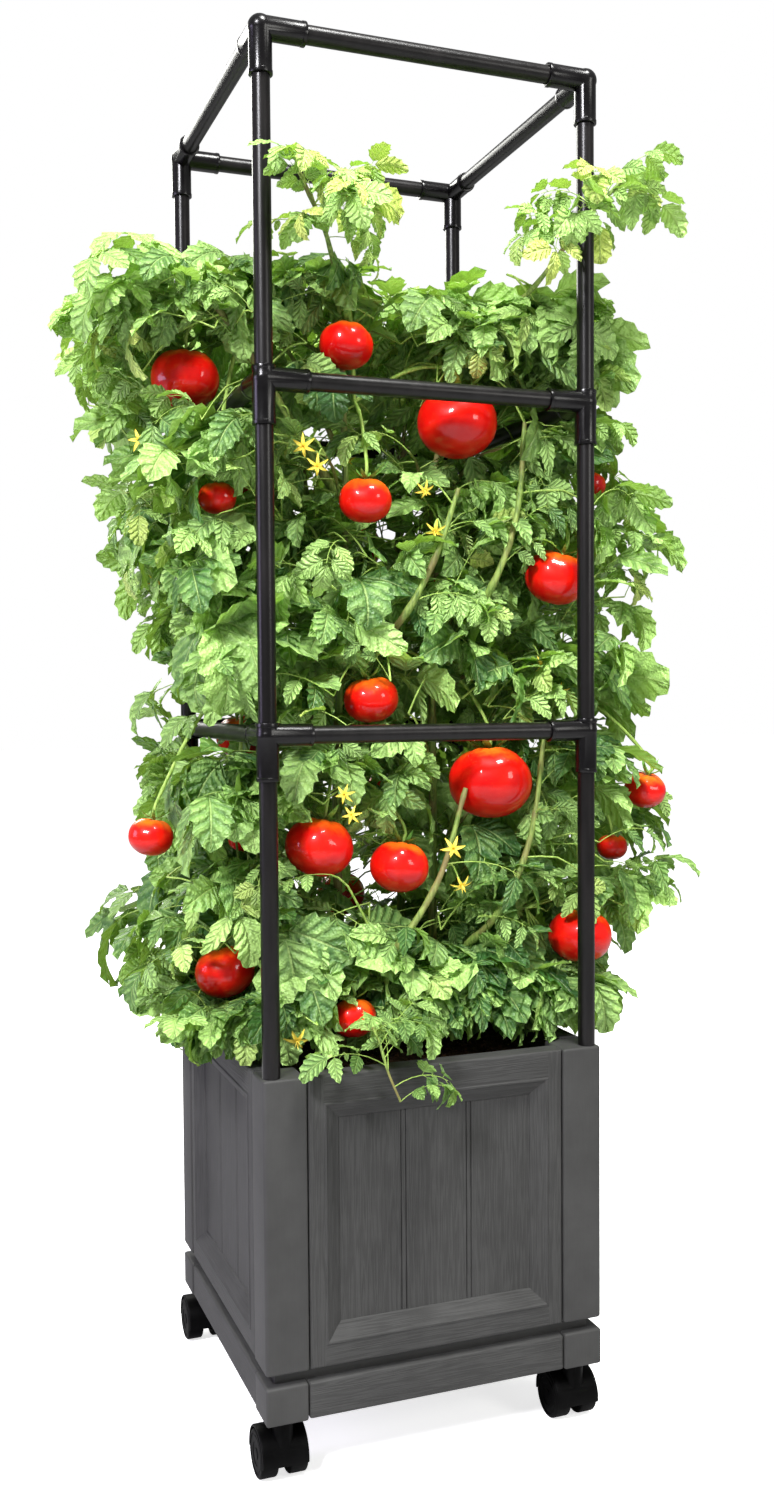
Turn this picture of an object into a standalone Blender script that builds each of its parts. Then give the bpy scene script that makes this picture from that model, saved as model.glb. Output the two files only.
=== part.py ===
"""Tomato plant in a square planter on casters, with a tube trellis standing in the planter.

Metres, +Z up. The origin is on the ground under the middle of the planter, +X runs to the
right along the front face and +Y runs to the back.
"""

import math
import random

import bmesh
import bpy
from mathutils import Matrix, Vector
from mathutils.bvhtree import BVHTree

FIT_GAP = 0.0003  # clearance left between pieces that touch
OVERCUT = 0.01  # how far a cutter runs past what it cuts

# Planter box: four corner posts with a framed panel between each two.
PLANTER_HALF = 0.195
BOX_BOTTOM = 0.123
BOX_TOP = 0.431
CORNER_POST_WIDTH = 0.047
CORNER_POST_ROUND = 0.0035
SEAM = 0.0012
PANEL_SETBACK = 0.0012
PANEL_THICKNESS = 0.024
PANEL_EDGE_ROUND = 0.003
FRAME_HALF_OPENING = 0.130
FRAME_OPENING_BOTTOM = 0.146
FRAME_OPENING_TOP = 0.402
# The moulding from the frame to the planks: how far in from the opening's edge, and how deep.
MOULDING = ((0.0, 0.0), (0.0015, -0.0012), (0.0045, -0.0008), (0.0115, 0.0030), (0.0195, 0.0100))
MOULDING_WIDTH, RECESS_DEPTH = MOULDING[-1]
PLANK_GROOVE_X = 0.038
PLANK_GROOVE_WIDTH = 0.005
PLANK_GROOVE_DEPTH = 0.0025
PLANK_GROOVE_CUTTER_RISE = 0.001
PLANK_GROOVE_END_GAP = 0.0005
TONGUE_THICKNESS = 0.010
TONGUE_LENGTH = 0.008
TONGUE_ROOT = 0.006
TONGUE_ABOVE_BOTTOM = 0.004
TONGUE_BELOW_TOP = 0.014
TONGUE_SLOT_BELOW_TOP = 0.012

# Base tray below the box, and the soil inside it.
BASE_BOTTOM = 0.070
BASE_TOP = 0.110
BASE_RAIL_SETBACK = 0.0012
BASE_RAIL_SINK = 0.0006
BASE_EDGE_ROUND = 0.003
NECK_HALF = 0.183
NECK_ROOT = 0.010
BASE_POCKET_HALF = 0.140
BASE_FLOOR_BOTTOM = 0.100
DRAIN_HOLE_RADIUS = 0.006
DRAIN_HOLE_OFFSET = 0.080
DRAIN_HOLE_SIDES = 8
SOIL_TOP = 0.405
SOIL_CROWN = 0.006
STEM_HOLE_CLEARANCE = 0.003
STEM_HOLE_SIDES = 8

# Casters: a hood with its stem, and a pair of wheels on one axle.
CASTER_OFFSET = 0.1715
CASTER_TRAIL = 0.015
WHEEL_RADIUS = 0.025
WHEEL_OUTER_X = 0.0262
WHEEL_INNER_X = 0.0065
WHEEL_SEGMENTS = 14
WHEEL_INNER_CHAMFER = 0.0015
WHEEL_OUTER_CHAMFER = (0.003, 0.0025)
WHEEL_FACE_ROUND = 0.0008
WHEEL_DISH = (0.0015, 0.45)  # how far in the face's middle lies, and its share of the radius
AXLE_RADIUS = 0.003
AXLE_CLEARANCE = 0.0005
HOOD_OUTER_RADIUS = 0.0292
HOOD_INNER_RADIUS = 0.0267
HOOD_HALF_WIDTH = 0.0255
HOOD_WEB_HALF = 0.0055
HOOD_CUT_BELOW_AXLE = 0.004
HOOD_SIDES = 16
NECK_RADIUS = 0.011
NECK_TOP = 0.068
NECK_ABOVE_AXLE = 0.012  # where the neck starts inside the hood
STEM_RADIUS = 0.0055
STEM_TOP = 0.096
STEM_ROOT = 0.008
STEM_CLEARANCE = 0.0004
STEM_HEADROOM = 0.002

# Trellis: tubes in three-way fittings.
TUBE_RADIUS = 0.0095
TUBE_WALL = 0.0015
TUBE_SIDES = 12
TRELLIS_HALF = 0.183
RING_HEIGHTS = {"lower": 0.7835, "middle": 1.144, "top": 1.491}
POST_SOCKET_DEPTH = 0.060
FITTING_RADIUS = 0.01225
FITTING_BALL_RADIUS = 0.0129
FITTING_ARM = 0.047
FITTING_COLLAR = 0.013
TUBE_STOP = 0.0125  # distance from a fitting's centre to the end of a tube in it
TUBE_END_GAP = 0.0012
FITTING_BALL_SEGMENTS = (8, 6)

# Plant. The spread is how far the foliage reaches from the middle.
SPREAD_X = 0.375
SPREAD_Y = 0.285
SPREAD_TOLERANCE = 0.002
CROWN_TOP = 1.27  # leaves reach no higher, apart from those near the tips of the stems
CROWN_SHOULDER = 1.25
STEM_FOOT_Z = SOIL_TOP - 0.03
VINE_SIDES = 5
VINE_FOOT_RADIUS = 0.0062
VINE_TIP_RADIUS = 0.0022
SHOOT_RADIUS = 0.0036
SPAN_STEPS = 3
PEDUNCLE_RADIUS = 0.0024
PEDUNCLE_TAPER = 0.8
PEDUNCLE_SIDES = 4
PEDUNCLE_RISE = 0.016  # how far over a tomato its stalk bends down
PEDUNCLE_ARCH = 0.012
PEDUNCLE_DEPTH = 0.3  # how far into the tomato it runs, as a share of the radius
FRUIT_SQUASH = 0.86
FRUIT_SEGMENTS = (8, 5)
LEAF_THICKNESS = 0.0012
STALK_HALF_WIDTH = 0.0016
STALK_THICKNESS = 0.0026
STALK_SHARE = 0.5
LOBE_SWEEP = 0.06
LEAF_ARCH = 0.16
LEAF_FOLD = 0.28
LEAF_SEED = 11
LEAVES_PER_VINE = 14
LEAF_TRIES = 60
LEAF_TURN = math.radians(137.5)
LEAF_LENGTHS = (0.11, 0.24)
LEAF_DROPS = (-0.45, 0.35)
LEAF_ROLLS = (-0.5, 0.5)
OUTWARD_PULL = 0.9
REACHING_TRIES = 24
REACHING_TURN = math.radians(15)
LOWEST_LEAF = BOX_TOP + 0.02

# How much room the leaves leave round other things.
LEAF_CLEARANCE = 0.0016
VINE_CLEARANCE = 0.0015
STALK_CLEARANCE = 0.0012
FRUIT_CLEARANCE = 0.003
BAR_CLEARANCE = 0.0015
RIM_CLEARANCE = 0.002
SOIL_CLEARANCE = 0.012
RIM_WIDTH = 0.030

CORNERS = {
    "front_left": (-1, -1),
    "front_right": (1, -1),
    "back_right": (1, 1),
    "back_left": (-1, 1),
}
SIDES = {"front": 0, "right": 90, "back": 180, "left": 270}

# Each vine is a stem, the side shoots that leave it, and how many leaves it carries.
# A shoot is the height where it leaves the stem and the points that it passes.
VINES = {
    "front_left": {
        "stem": [(-0.055, -0.045, STEM_FOOT_Z), (-0.062, -0.040, 0.70), (-0.050, -0.045, 1.00),
                 (-0.065, -0.080, 1.20), (-0.105, -0.165, 1.285), (-0.150, -0.205, 1.345)],
        "shoots": [
            (0.50, [(-0.110, -0.050, 0.575), (-0.150, -0.050, 0.590)]),
            (0.74, [(-0.110, -0.035, 0.835), (-0.160, -0.030, 0.860)]),
            (1.08, [(-0.110, -0.045, 1.200), (-0.160, -0.050, 1.240)]),
        ],
    },
    "front_right": {
        "stem": [(0.055, -0.040, STEM_FOOT_Z), (0.060, -0.035, 0.75), (0.062, -0.030, 1.05),
                 (0.095, -0.070, 1.215), (0.138, -0.150, 1.275), (0.172, -0.204, 1.335),
                 (0.215, -0.212, 1.380)],
        "shoots": [
            (0.60, [(0.115, -0.036, 0.755), (0.160, -0.040, 0.830), (0.198, -0.042, 0.838)]),
            (0.90, [(0.130, -0.045, 1.030), (0.175, -0.055, 1.085)]),
        ],
    },
    "back_right": {
        "stem": [(0.050, 0.055, STEM_FOOT_Z), (0.060, 0.065, 0.75), (0.055, 0.060, 1.05),
                 (0.080, 0.070, 1.235)],
        "shoots": [
            (0.56, [(0.110, 0.090, 0.640), (0.155, 0.115, 0.690)]),
            (0.88, [(0.120, 0.080, 0.990), (0.170, 0.090, 1.060)]),
        ],
    },
    "back_left": {
        "stem": [(-0.055, 0.055, STEM_FOOT_Z), (-0.062, 0.062, 0.70), (-0.055, 0.065, 1.00),
                 (-0.085, 0.070, 1.225)],
        "shoots": [
            (0.52, [(-0.110, 0.085, 0.620), (-0.155, 0.105, 0.660)]),
            (0.90, [(-0.120, 0.085, 1.000), (-0.165, 0.095, 1.065)]),
        ],
    },
}

# Each truss: where its stalk starts, and each tomato's middle and radius.
TRUSSES = {
    "left_upper": ((-0.167, -0.051, 1.2435), [((-0.238, -0.070, 1.163), 0.038),
                                              ((-0.212, -0.100, 1.034), 0.021)]),
    "front_upper": ((-0.050, -0.080, 1.150), [((-0.073, -0.120, 1.200), 0.030),
                                              ((0.060, -0.112, 1.126), 0.046),
                                              ((-0.056, -0.130, 1.034), 0.030)]),
    "right_upper": ((0.183, -0.057, 1.094), [((0.174, -0.130, 0.956), 0.037),
                                             ((0.240, -0.090, 1.069), 0.019)]),
    "left_middle": ((-0.168, -0.029, 0.863), [((-0.140, 0.095, 0.775), 0.030),
                                              ((-0.280, -0.060, 0.673), 0.025),
                                              ((-0.160, 0.007, 0.660), 0.018)]),
    "front_middle": ((0.058, -0.046, 0.860), [((-0.044, -0.110, 0.819), 0.031),
                                              ((0.098, -0.115, 0.724), 0.049)]),
    "front_lower": ((-0.062, -0.051, 0.735), [((-0.108, -0.118, 0.660), 0.039),
                                              ((-0.019, -0.128, 0.635), 0.034)]),
    "right_lower": ((0.206, -0.043, 0.839), [((0.308, -0.100, 0.708), 0.026),
                                             ((0.269, -0.090, 0.640), 0.019),
                                             ((0.209, -0.120, 0.542), 0.038)]),
    "left_lower": ((-0.158, -0.050, 0.593), [((-0.205, -0.080, 0.524), 0.034),
                                             ((-0.074, -0.128, 0.472), 0.026)]),
    "back_upper": ((-0.056, 0.076, 1.110), [((-0.110, 0.130, 1.060), 0.037),
                                            ((0.020, 0.140, 1.010), 0.041),
                                            ((0.120, 0.145, 0.960), 0.030)]),
    "back_lower": ((0.058, 0.076, 0.800), [((-0.090, 0.140, 0.720), 0.040),
                                           ((0.060, 0.140, 0.690), 0.036),
                                           ((0.000, 0.130, 0.570), 0.032)]),
}

# Leaves that mark how far the foliage reaches: the vine, the leaf's foot and its tip.
REACHING_LEAVES = [
    ("front_left", (-0.150, -0.049, 1.234), (-SPREAD_X, -0.020, 1.215)),
    ("back_right", (0.150, 0.112, 0.686), (SPREAD_X, 0.060, 0.600)),
    ("back_right", (0.066, 0.066, 1.170), (0.080, SPREAD_Y, 1.080)),
    ("front_right", (0.062, -0.034, 0.950), (0.080, -SPREAD_Y, 0.860)),
    ("front_left", (-0.150, -0.204, 1.342), (-0.130, -0.215, 1.440)),
    ("front_right", (0.213, -0.212, 1.377), (0.300, -0.225, 1.400)),
    ("front_right", (0.210, -0.211, 1.374), (0.175, -0.245, 1.440)),
]

# Across a leaf: share of its length, and half width there as a share of its length.
LEAF_STATIONS = [(0.0, 0.0), (0.36, 0.0), (0.52, 0.24), (0.60, 0.05), (0.80, 0.20), (1.0, 0.002)]


# ---------------------------------------------------------------- materials

def make_material(name, colour, roughness, metallic=0.0):
    material = bpy.data.materials.new(name)
    material.use_nodes = True
    shader = material.node_tree.nodes["Principled BSDF"]
    shader.inputs["Base Color"].default_value = (*colour, 1.0)
    shader.inputs["Roughness"].default_value = roughness
    shader.inputs["Metallic"].default_value = metallic
    return material


def make_materials():
    return {
        "planter": make_material("planter_plastic", (0.092, 0.096, 0.094), 0.55),
        "tube": make_material("trellis_tube", (0.012, 0.011, 0.010), 0.35),
        "fitting": make_material("trellis_fitting", (0.008, 0.008, 0.008), 0.28),
        "caster": make_material("caster_plastic", (0.010, 0.010, 0.010), 0.4),
        "soil": make_material("soil", (0.040, 0.024, 0.014), 0.95),
        "vine": make_material("vine_green", (0.130, 0.260, 0.045), 0.5),
        "fruit": make_material("ripe_tomato", (0.700, 0.022, 0.008), 0.2),
    }


# ---------------------------------------------------------------- mesh helpers

def finish_mesh(shape, name):
    """Turns a bmesh into a mesh with its faces pointing out."""
    bmesh.ops.recalc_face_normals(shape, faces=shape.faces)
    mesh = bpy.data.meshes.new(name)
    shape.to_mesh(mesh)
    shape.free()
    return mesh


def add_object(name, mesh, material, smooth_angle=None):
    if not mesh.materials:
        mesh.materials.append(material)
    if smooth_angle is not None:
        mesh.shade_smooth()
        mesh.set_sharp_from_angle(angle=math.radians(smooth_angle))
    piece = bpy.data.objects.new(name, mesh)
    bpy.context.scene.collection.objects.link(piece)
    return piece


def add_helper(name, mesh, collection=None):
    """A shape that only cuts or joins another, and isn't a piece of its own."""
    helper = bpy.data.objects.new(name, mesh)
    (collection or bpy.context.scene.collection).objects.link(helper)
    helper.hide_render = True
    helper.display_type = "WIRE"
    return helper


def box_mesh(low, high, bevel=0.0, segments=2):
    shape = bmesh.new()
    bmesh.ops.create_cube(shape, size=1.0)
    size = Vector(high) - Vector(low)
    middle = (Vector(high) + Vector(low)) / 2
    bmesh.ops.scale(shape, vec=size, verts=shape.verts)
    bmesh.ops.translate(shape, vec=middle, verts=shape.verts)
    if bevel:
        bmesh.ops.bevel(
            shape, geom=list(shape.edges), offset=bevel, segments=segments, affect="EDGES", profile=0.5
        )
    return finish_mesh(shape, "box")


def axis_turn(axis):
    """The rotation that lays a shape built along +Z along another axis."""
    turns = {
        "+Z": Matrix.Identity(4),
        "-Z": Matrix.Rotation(math.pi, 4, "X"),
        "+X": Matrix.Rotation(math.pi / 2, 4, "Y"),
        "+Y": Matrix.Rotation(-math.pi / 2, 4, "X"),
    }
    return turns[axis]


def rod_mesh(radius, start, end, axis="+Z", at=(0, 0, 0), sides=TUBE_SIDES, turn=0.0):
    """A closed cylinder from start to end along an axis through the point at."""
    shape = bmesh.new()
    bmesh.ops.create_cone(
        shape, cap_ends=True, segments=sides, radius1=radius, radius2=radius, depth=end - start
    )
    bmesh.ops.translate(shape, vec=(0, 0, (start + end) / 2), verts=shape.verts)
    place = Matrix.Translation(at) @ axis_turn(axis) @ Matrix.Rotation(turn, 4, "Z")
    bmesh.ops.transform(shape, matrix=place, verts=shape.verts)
    return finish_mesh(shape, "rod")


def pipe_mesh(outer, inner, start, end, axis="+Z", at=(0, 0, 0)):
    """An open pipe, made from its wall's cross-section spun about the axis."""
    shape = bmesh.new()
    corners = [(inner, 0, start), (outer, 0, start), (outer, 0, end), (inner, 0, end)]
    ring = [shape.verts.new(corner) for corner in corners]
    edges = [shape.edges.new((ring[i], ring[(i + 1) % 4])) for i in range(4)]
    bmesh.ops.spin(
        shape, geom=ring + edges, cent=(0, 0, 0), axis=(0, 0, 1), angle=math.tau,
        steps=TUBE_SIDES, use_merge=True, use_duplicate=False,
    )
    bmesh.ops.remove_doubles(shape, verts=shape.verts, dist=0.00002)
    place = Matrix.Translation(at) @ axis_turn(axis)
    bmesh.ops.transform(shape, matrix=place, verts=shape.verts)
    return finish_mesh(shape, "pipe")


def boolean(piece, operation, meshes, name):
    """Cuts shapes out of a piece, or joins them to it, as one modifier."""
    group = bpy.data.collections.new(name)
    bpy.context.scene.collection.children.link(group)
    for number, mesh in enumerate(meshes):
        add_helper(f"{name}_{number}", mesh, group)
    modifier = piece.modifiers.new(name, "BOOLEAN")
    modifier.operation = operation
    modifier.operand_type = "COLLECTION"
    modifier.collection = group
    modifier.solver = "EXACT"
    return piece


def baked_mesh(piece, name):
    """The mesh of a piece with its modifiers applied, for copies to share."""
    graph = bpy.context.evaluated_depsgraph_get()
    mesh = bpy.data.meshes.new_from_object(piece.evaluated_get(graph))
    mesh.name = name
    return mesh


def smooth_path(points, steps):
    """Points along a Catmull-Rom curve through the given points, steps to each span."""
    knots = [Vector(point) for point in points]
    knots = [2 * knots[0] - knots[1]] + knots + [2 * knots[-1] - knots[-2]]
    path = []
    for a, b, c, d in zip(knots, knots[1:], knots[2:], knots[3:]):
        for step in range(steps):
            t = step / steps
            path.append(
                0.5 * (2 * b + (c - a) * t + (2 * a - 5 * b + 4 * c - d) * t * t
                       + (3 * b - a - 3 * c + d) * t ** 3)
            )
    path.append(knots[-2])
    return path


def limb_mesh(path, start_radius, end_radius, sides=VINE_SIDES):
    """A closed, tapered limb along a path."""
    shape = bmesh.new()
    rings = []
    side = Vector((1, 0, 0)) if abs((path[1] - path[0]).normalized().x) < 0.8 else Vector((0, 1, 0))
    for number, point in enumerate(path):
        before = path[max(number - 1, 0)]
        after = path[min(number + 1, len(path) - 1)]
        along = (after - before).normalized()
        side = (side - along * side.dot(along)).normalized()
        other = along.cross(side)
        share = number / (len(path) - 1)
        radius = start_radius + (end_radius - start_radius) * share
        turns = [math.tau * k / sides for k in range(sides)]
        rings.append([
            shape.verts.new(point + radius * (math.cos(a) * side + math.sin(a) * other))
            for a in turns
        ])
    for low, high in zip(rings, rings[1:]):
        for k in range(sides):
            n = (k + 1) % sides
            shape.faces.new((low[k], low[n], high[n], high[k]))
    shape.faces.new(rings[0][::-1])
    shape.faces.new(rings[-1])
    return finish_mesh(shape, "limb")


# ---------------------------------------------------------------- planter

def build_corner_posts(materials):
    inner = PLANTER_HALF - CORNER_POST_WIDTH
    low = (inner, inner, BOX_BOTTOM)
    high = (PLANTER_HALF, PLANTER_HALF, BOX_TOP)
    groove_middle = PLANTER_HALF - PANEL_SETBACK - PANEL_THICKNESS / 2
    groove_half = TONGUE_THICKNESS / 2 + FIT_GAP
    groove_end = inner + TONGUE_LENGTH + FIT_GAP
    for name, (sx, sy) in CORNERS.items():
        turn = math.atan2(sy, sx) - math.pi / 4
        piece = add_object(
            f"corner_post_{name}", box_mesh(low, high, CORNER_POST_ROUND, 1), materials["planter"]
        )
        socket = rod_mesh(
            TUBE_RADIUS + FIT_GAP, BOX_TOP - POST_SOCKET_DEPTH - FIT_GAP, BOX_TOP + OVERCUT,
            at=(TRELLIS_HALF, TRELLIS_HALF, 0),
        )
        groove_x = box_mesh(
            (groove_middle - groove_half, inner - OVERCUT, BOX_BOTTOM - OVERCUT),
            (groove_middle + groove_half, groove_end, BOX_TOP - TONGUE_SLOT_BELOW_TOP),
        )
        groove_y = box_mesh(
            (inner - OVERCUT, groove_middle - groove_half, BOX_BOTTOM - OVERCUT),
            (groove_end, groove_middle + groove_half, BOX_TOP - TONGUE_SLOT_BELOW_TOP),
        )
        boolean(piece, "DIFFERENCE", [socket, groove_x, groove_y], f"cut_corner_{name}")
        piece.rotation_euler.z = turn
        for helper in bpy.data.collections[f"cut_corner_{name}"].objects:
            helper.rotation_euler.z = turn


def panel_mesh():
    """The front panel: a flat frame, a moulding that slopes in, and a recessed field."""
    half = PLANTER_HALF - CORNER_POST_WIDTH - SEAM
    face = -(PLANTER_HALF - PANEL_SETBACK)
    bottom = BOX_BOTTOM
    top = BOX_TOP

    def loop(inset_x, low, high, depth):
        return [
            (-inset_x, face + depth, low), (inset_x, face + depth, low),
            (inset_x, face + depth, high), (-inset_x, face + depth, high),
        ]

    loops = [
        loop(half, bottom, top, PANEL_THICKNESS),
        loop(half, bottom, top, PANEL_EDGE_ROUND),
        loop(half - PANEL_EDGE_ROUND / 3, bottom + PANEL_EDGE_ROUND / 3,
             top - PANEL_EDGE_ROUND / 3, PANEL_EDGE_ROUND / 3),
        loop(half - PANEL_EDGE_ROUND, bottom + PANEL_EDGE_ROUND, top - PANEL_EDGE_ROUND, 0.0),
    ]
    for inset, depth in MOULDING:
        loops.append(loop(
            FRAME_HALF_OPENING - inset, FRAME_OPENING_BOTTOM + inset, FRAME_OPENING_TOP - inset, depth
        ))
    shape = bmesh.new()
    rings = [[shape.verts.new(point) for point in points] for points in loops]
    for outer, inner in zip(rings, rings[1:]):
        for k in range(4):
            n = (k + 1) % 4
            shape.faces.new((outer[k], outer[n], inner[n], inner[k]))
    shape.faces.new(rings[0])
    shape.faces.new(rings[-1])
    return finish_mesh(shape, "panel")


def groove_cutter(x):
    """A V-shaped bar that cuts the groove between two planks."""
    floor = -(PLANTER_HALF - PANEL_SETBACK) + RECESS_DEPTH
    low = FRAME_OPENING_BOTTOM + MOULDING_WIDTH + PLANK_GROOVE_END_GAP
    high = FRAME_OPENING_TOP - MOULDING_WIDTH - PLANK_GROOVE_END_GAP
    half = PLANK_GROOVE_WIDTH / 2 + PLANK_GROOVE_CUTTER_RISE
    edge = floor - PLANK_GROOVE_CUTTER_RISE
    section = [(x - half, edge), (x + half, edge), (x, floor + PLANK_GROOVE_DEPTH)]
    shape = bmesh.new()
    ends = [[shape.verts.new((u, v, z)) for u, v in section] for z in (low, high)]
    for k in range(3):
        n = (k + 1) % 3
        shape.faces.new((ends[0][k], ends[0][n], ends[1][n], ends[1][k]))
    shape.faces.new(ends[0][::-1])
    shape.faces.new(ends[1])
    return finish_mesh(shape, "groove")


def build_panels(materials):
    half = PLANTER_HALF - CORNER_POST_WIDTH - SEAM
    middle = -(PLANTER_HALF - PANEL_SETBACK) + PANEL_THICKNESS / 2
    tongues = []
    for side in (-1, 1):
        near, far = sorted((side * (half - TONGUE_ROOT), side * (half + TONGUE_LENGTH)))
        tongues.append(box_mesh(
            (near, middle - TONGUE_THICKNESS / 2, BOX_BOTTOM + TONGUE_ABOVE_BOTTOM),
            (far, middle + TONGUE_THICKNESS / 2, BOX_TOP - TONGUE_BELOW_TOP),
        ))
    model = add_helper("panel_model", panel_mesh())
    boolean(model, "UNION", tongues, "panel_tongues")
    grooves = [groove_cutter(side * PLANK_GROOVE_X) for side in (-1, 1)]
    boolean(model, "DIFFERENCE", grooves, "panel_grooves")
    mesh = baked_mesh(model, "side_panel")
    for name, degrees in SIDES.items():
        piece = add_object(f"side_panel_{name}", mesh, materials["planter"])
        piece.rotation_euler.z = math.radians(degrees)


def build_base(materials):
    """The tray: corner blocks and rails round a floor, with a neck that the box stands on."""
    inner = PLANTER_HALF - CORNER_POST_WIDTH
    rail_half = PLANTER_HALF - BASE_RAIL_SETBACK
    body = box_mesh(
        (-rail_half, -rail_half, BASE_BOTTOM + BASE_RAIL_SINK),
        (rail_half, rail_half, BASE_TOP - BASE_RAIL_SINK),
        BASE_EDGE_ROUND, 1,
    )
    piece = add_object("base_tray", body, materials["planter"])
    joined = [
        box_mesh(
            (-NECK_HALF, -NECK_HALF, BASE_TOP - NECK_ROOT), (NECK_HALF, NECK_HALF, BOX_BOTTOM - FIT_GAP)
        )
    ]
    for sx, sy in CORNERS.values():
        near = inner + SEAM
        xs = sorted((sx * near, sx * PLANTER_HALF))
        ys = sorted((sy * near, sy * PLANTER_HALF))
        joined.append(
            box_mesh((xs[0], ys[0], BASE_BOTTOM), (xs[1], ys[1], BASE_TOP), BASE_EDGE_ROUND, 1)
        )
    boolean(piece, "UNION", joined, "base_blocks")
    cuts = [
        box_mesh(
            (-BASE_POCKET_HALF, -BASE_POCKET_HALF, BASE_BOTTOM - OVERCUT),
            (BASE_POCKET_HALF, BASE_POCKET_HALF, BASE_FLOOR_BOTTOM),
        )
    ]
    for sx, sy in CORNERS.values():
        cuts.append(rod_mesh(
            STEM_RADIUS + STEM_CLEARANCE, BASE_BOTTOM - OVERCUT, STEM_TOP + STEM_HEADROOM,
            at=(sx * CASTER_OFFSET, sy * CASTER_OFFSET, 0),
        ))
        cuts.append(rod_mesh(
            DRAIN_HOLE_RADIUS, BASE_FLOOR_BOTTOM - OVERCUT, BOX_BOTTOM + OVERCUT,
            at=(sx * DRAIN_HOLE_OFFSET, sy * DRAIN_HOLE_OFFSET, 0), sides=DRAIN_HOLE_SIDES,
        ))
    boolean(piece, "DIFFERENCE", cuts, "base_cuts")


def build_soil(materials, stem_feet):
    """Soil fills the box round its corner posts, and each stem stands in it."""
    wide = PLANTER_HALF - PANEL_SETBACK - PANEL_THICKNESS - FIT_GAP * 2
    narrow = PLANTER_HALF - CORNER_POST_WIDTH - FIT_GAP * 2
    outline = []
    for quarter in range(4):
        turn = Matrix.Rotation(quarter * math.pi / 2, 2)
        for x, y in ((narrow, -wide), (narrow, -narrow), (wide, -narrow)):
            outline.append(turn @ Vector((x, y)))
    shape = bmesh.new()
    bottom = [shape.verts.new((x, y, BOX_BOTTOM + FIT_GAP)) for x, y in outline]
    top = [shape.verts.new((x, y, SOIL_TOP)) for x, y in outline]
    crown = shape.verts.new((0, 0, SOIL_TOP + SOIL_CROWN))
    for k in range(len(outline)):
        n = (k + 1) % len(outline)
        shape.faces.new((bottom[k], bottom[n], top[n], top[k]))
        shape.faces.new((top[k], top[n], crown))
    shape.faces.new(bottom[::-1])
    piece = add_object("soil", finish_mesh(shape, "soil"), materials["soil"])
    holes = [
        rod_mesh(
            VINE_FOOT_RADIUS + STEM_HOLE_CLEARANCE, foot.z - STEM_HOLE_CLEARANCE, SOIL_TOP + OVERCUT,
            at=(foot.x, foot.y, 0), sides=STEM_HOLE_SIDES,
        )
        for foot in stem_feet
    ]
    boolean(piece, "DIFFERENCE", holes, "stem_holes")


# ---------------------------------------------------------------- casters

def hood_mesh():
    """A hood over both wheels, with a web between them, a neck and a stem, at the swivel axis."""
    centre = (0, CASTER_TRAIL, WHEEL_RADIUS)
    body = rod_mesh(
        HOOD_OUTER_RADIUS, -HOOD_HALF_WIDTH, HOOD_HALF_WIDTH, axis="+X", at=centre, sides=HOOD_SIDES
    )
    model = add_helper("hood_model", body)
    boolean(model, "UNION", [
        rod_mesh(NECK_RADIUS, WHEEL_RADIUS + NECK_ABOVE_AXLE, NECK_TOP),
        rod_mesh(STEM_RADIUS, NECK_TOP - STEM_ROOT, STEM_TOP),
    ], "hood_neck")
    bay_end = HOOD_HALF_WIDTH + OVERCUT
    reach = 2 * HOOD_OUTER_RADIUS
    cuts = [
        box_mesh((-reach, -reach, -reach), (reach, reach, WHEEL_RADIUS - HOOD_CUT_BELOW_AXLE)),
        rod_mesh(AXLE_RADIUS + AXLE_CLEARANCE, -OVERCUT, OVERCUT, axis="+X", at=centre),
        rod_mesh(HOOD_INNER_RADIUS, HOOD_WEB_HALF, bay_end, axis="+X", at=centre, sides=HOOD_SIDES),
        rod_mesh(HOOD_INNER_RADIUS, -bay_end, -HOOD_WEB_HALF, axis="+X", at=centre, sides=HOOD_SIDES),
    ]
    boolean(model, "DIFFERENCE", cuts, "hood_cuts")
    return baked_mesh(model, "caster_hood")


def wheel_pair_mesh():
    """Two wheels and their axle, spun about the axle from one half profile."""
    rim = WHEEL_RADIUS / math.cos(math.pi / WHEEL_SEGMENTS)
    chamfer_x, chamfer_radius = WHEEL_OUTER_CHAMFER
    dish_depth, dish_share = WHEEL_DISH
    half_profile = [
        (WHEEL_INNER_X, AXLE_RADIUS),
        (WHEEL_INNER_X, rim - WHEEL_INNER_CHAMFER),
        (WHEEL_INNER_X + WHEEL_INNER_CHAMFER, rim),
        (WHEEL_OUTER_X - chamfer_x, rim),
        (WHEEL_OUTER_X - WHEEL_FACE_ROUND, rim - chamfer_radius),
        (WHEEL_OUTER_X - dish_depth, rim * dish_share),
    ]
    profile = [(-x, r) for x, r in reversed(half_profile)] + half_profile
    shape = bmesh.new()
    rings = []
    for x, radius in profile:
        turns = [math.tau * (k + 0.5) / WHEEL_SEGMENTS for k in range(WHEEL_SEGMENTS)]
        rings.append([
            shape.verts.new((x, radius * math.sin(a), radius * math.cos(a))) for a in turns
        ])
    for low, high in zip(rings, rings[1:]):
        for k in range(WHEEL_SEGMENTS):
            n = (k + 1) % WHEEL_SEGMENTS
            shape.faces.new((low[k], low[n], high[n], high[k]))
    shape.faces.new(rings[0])
    shape.faces.new(rings[-1])
    return finish_mesh(shape, "caster_wheels")


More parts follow.
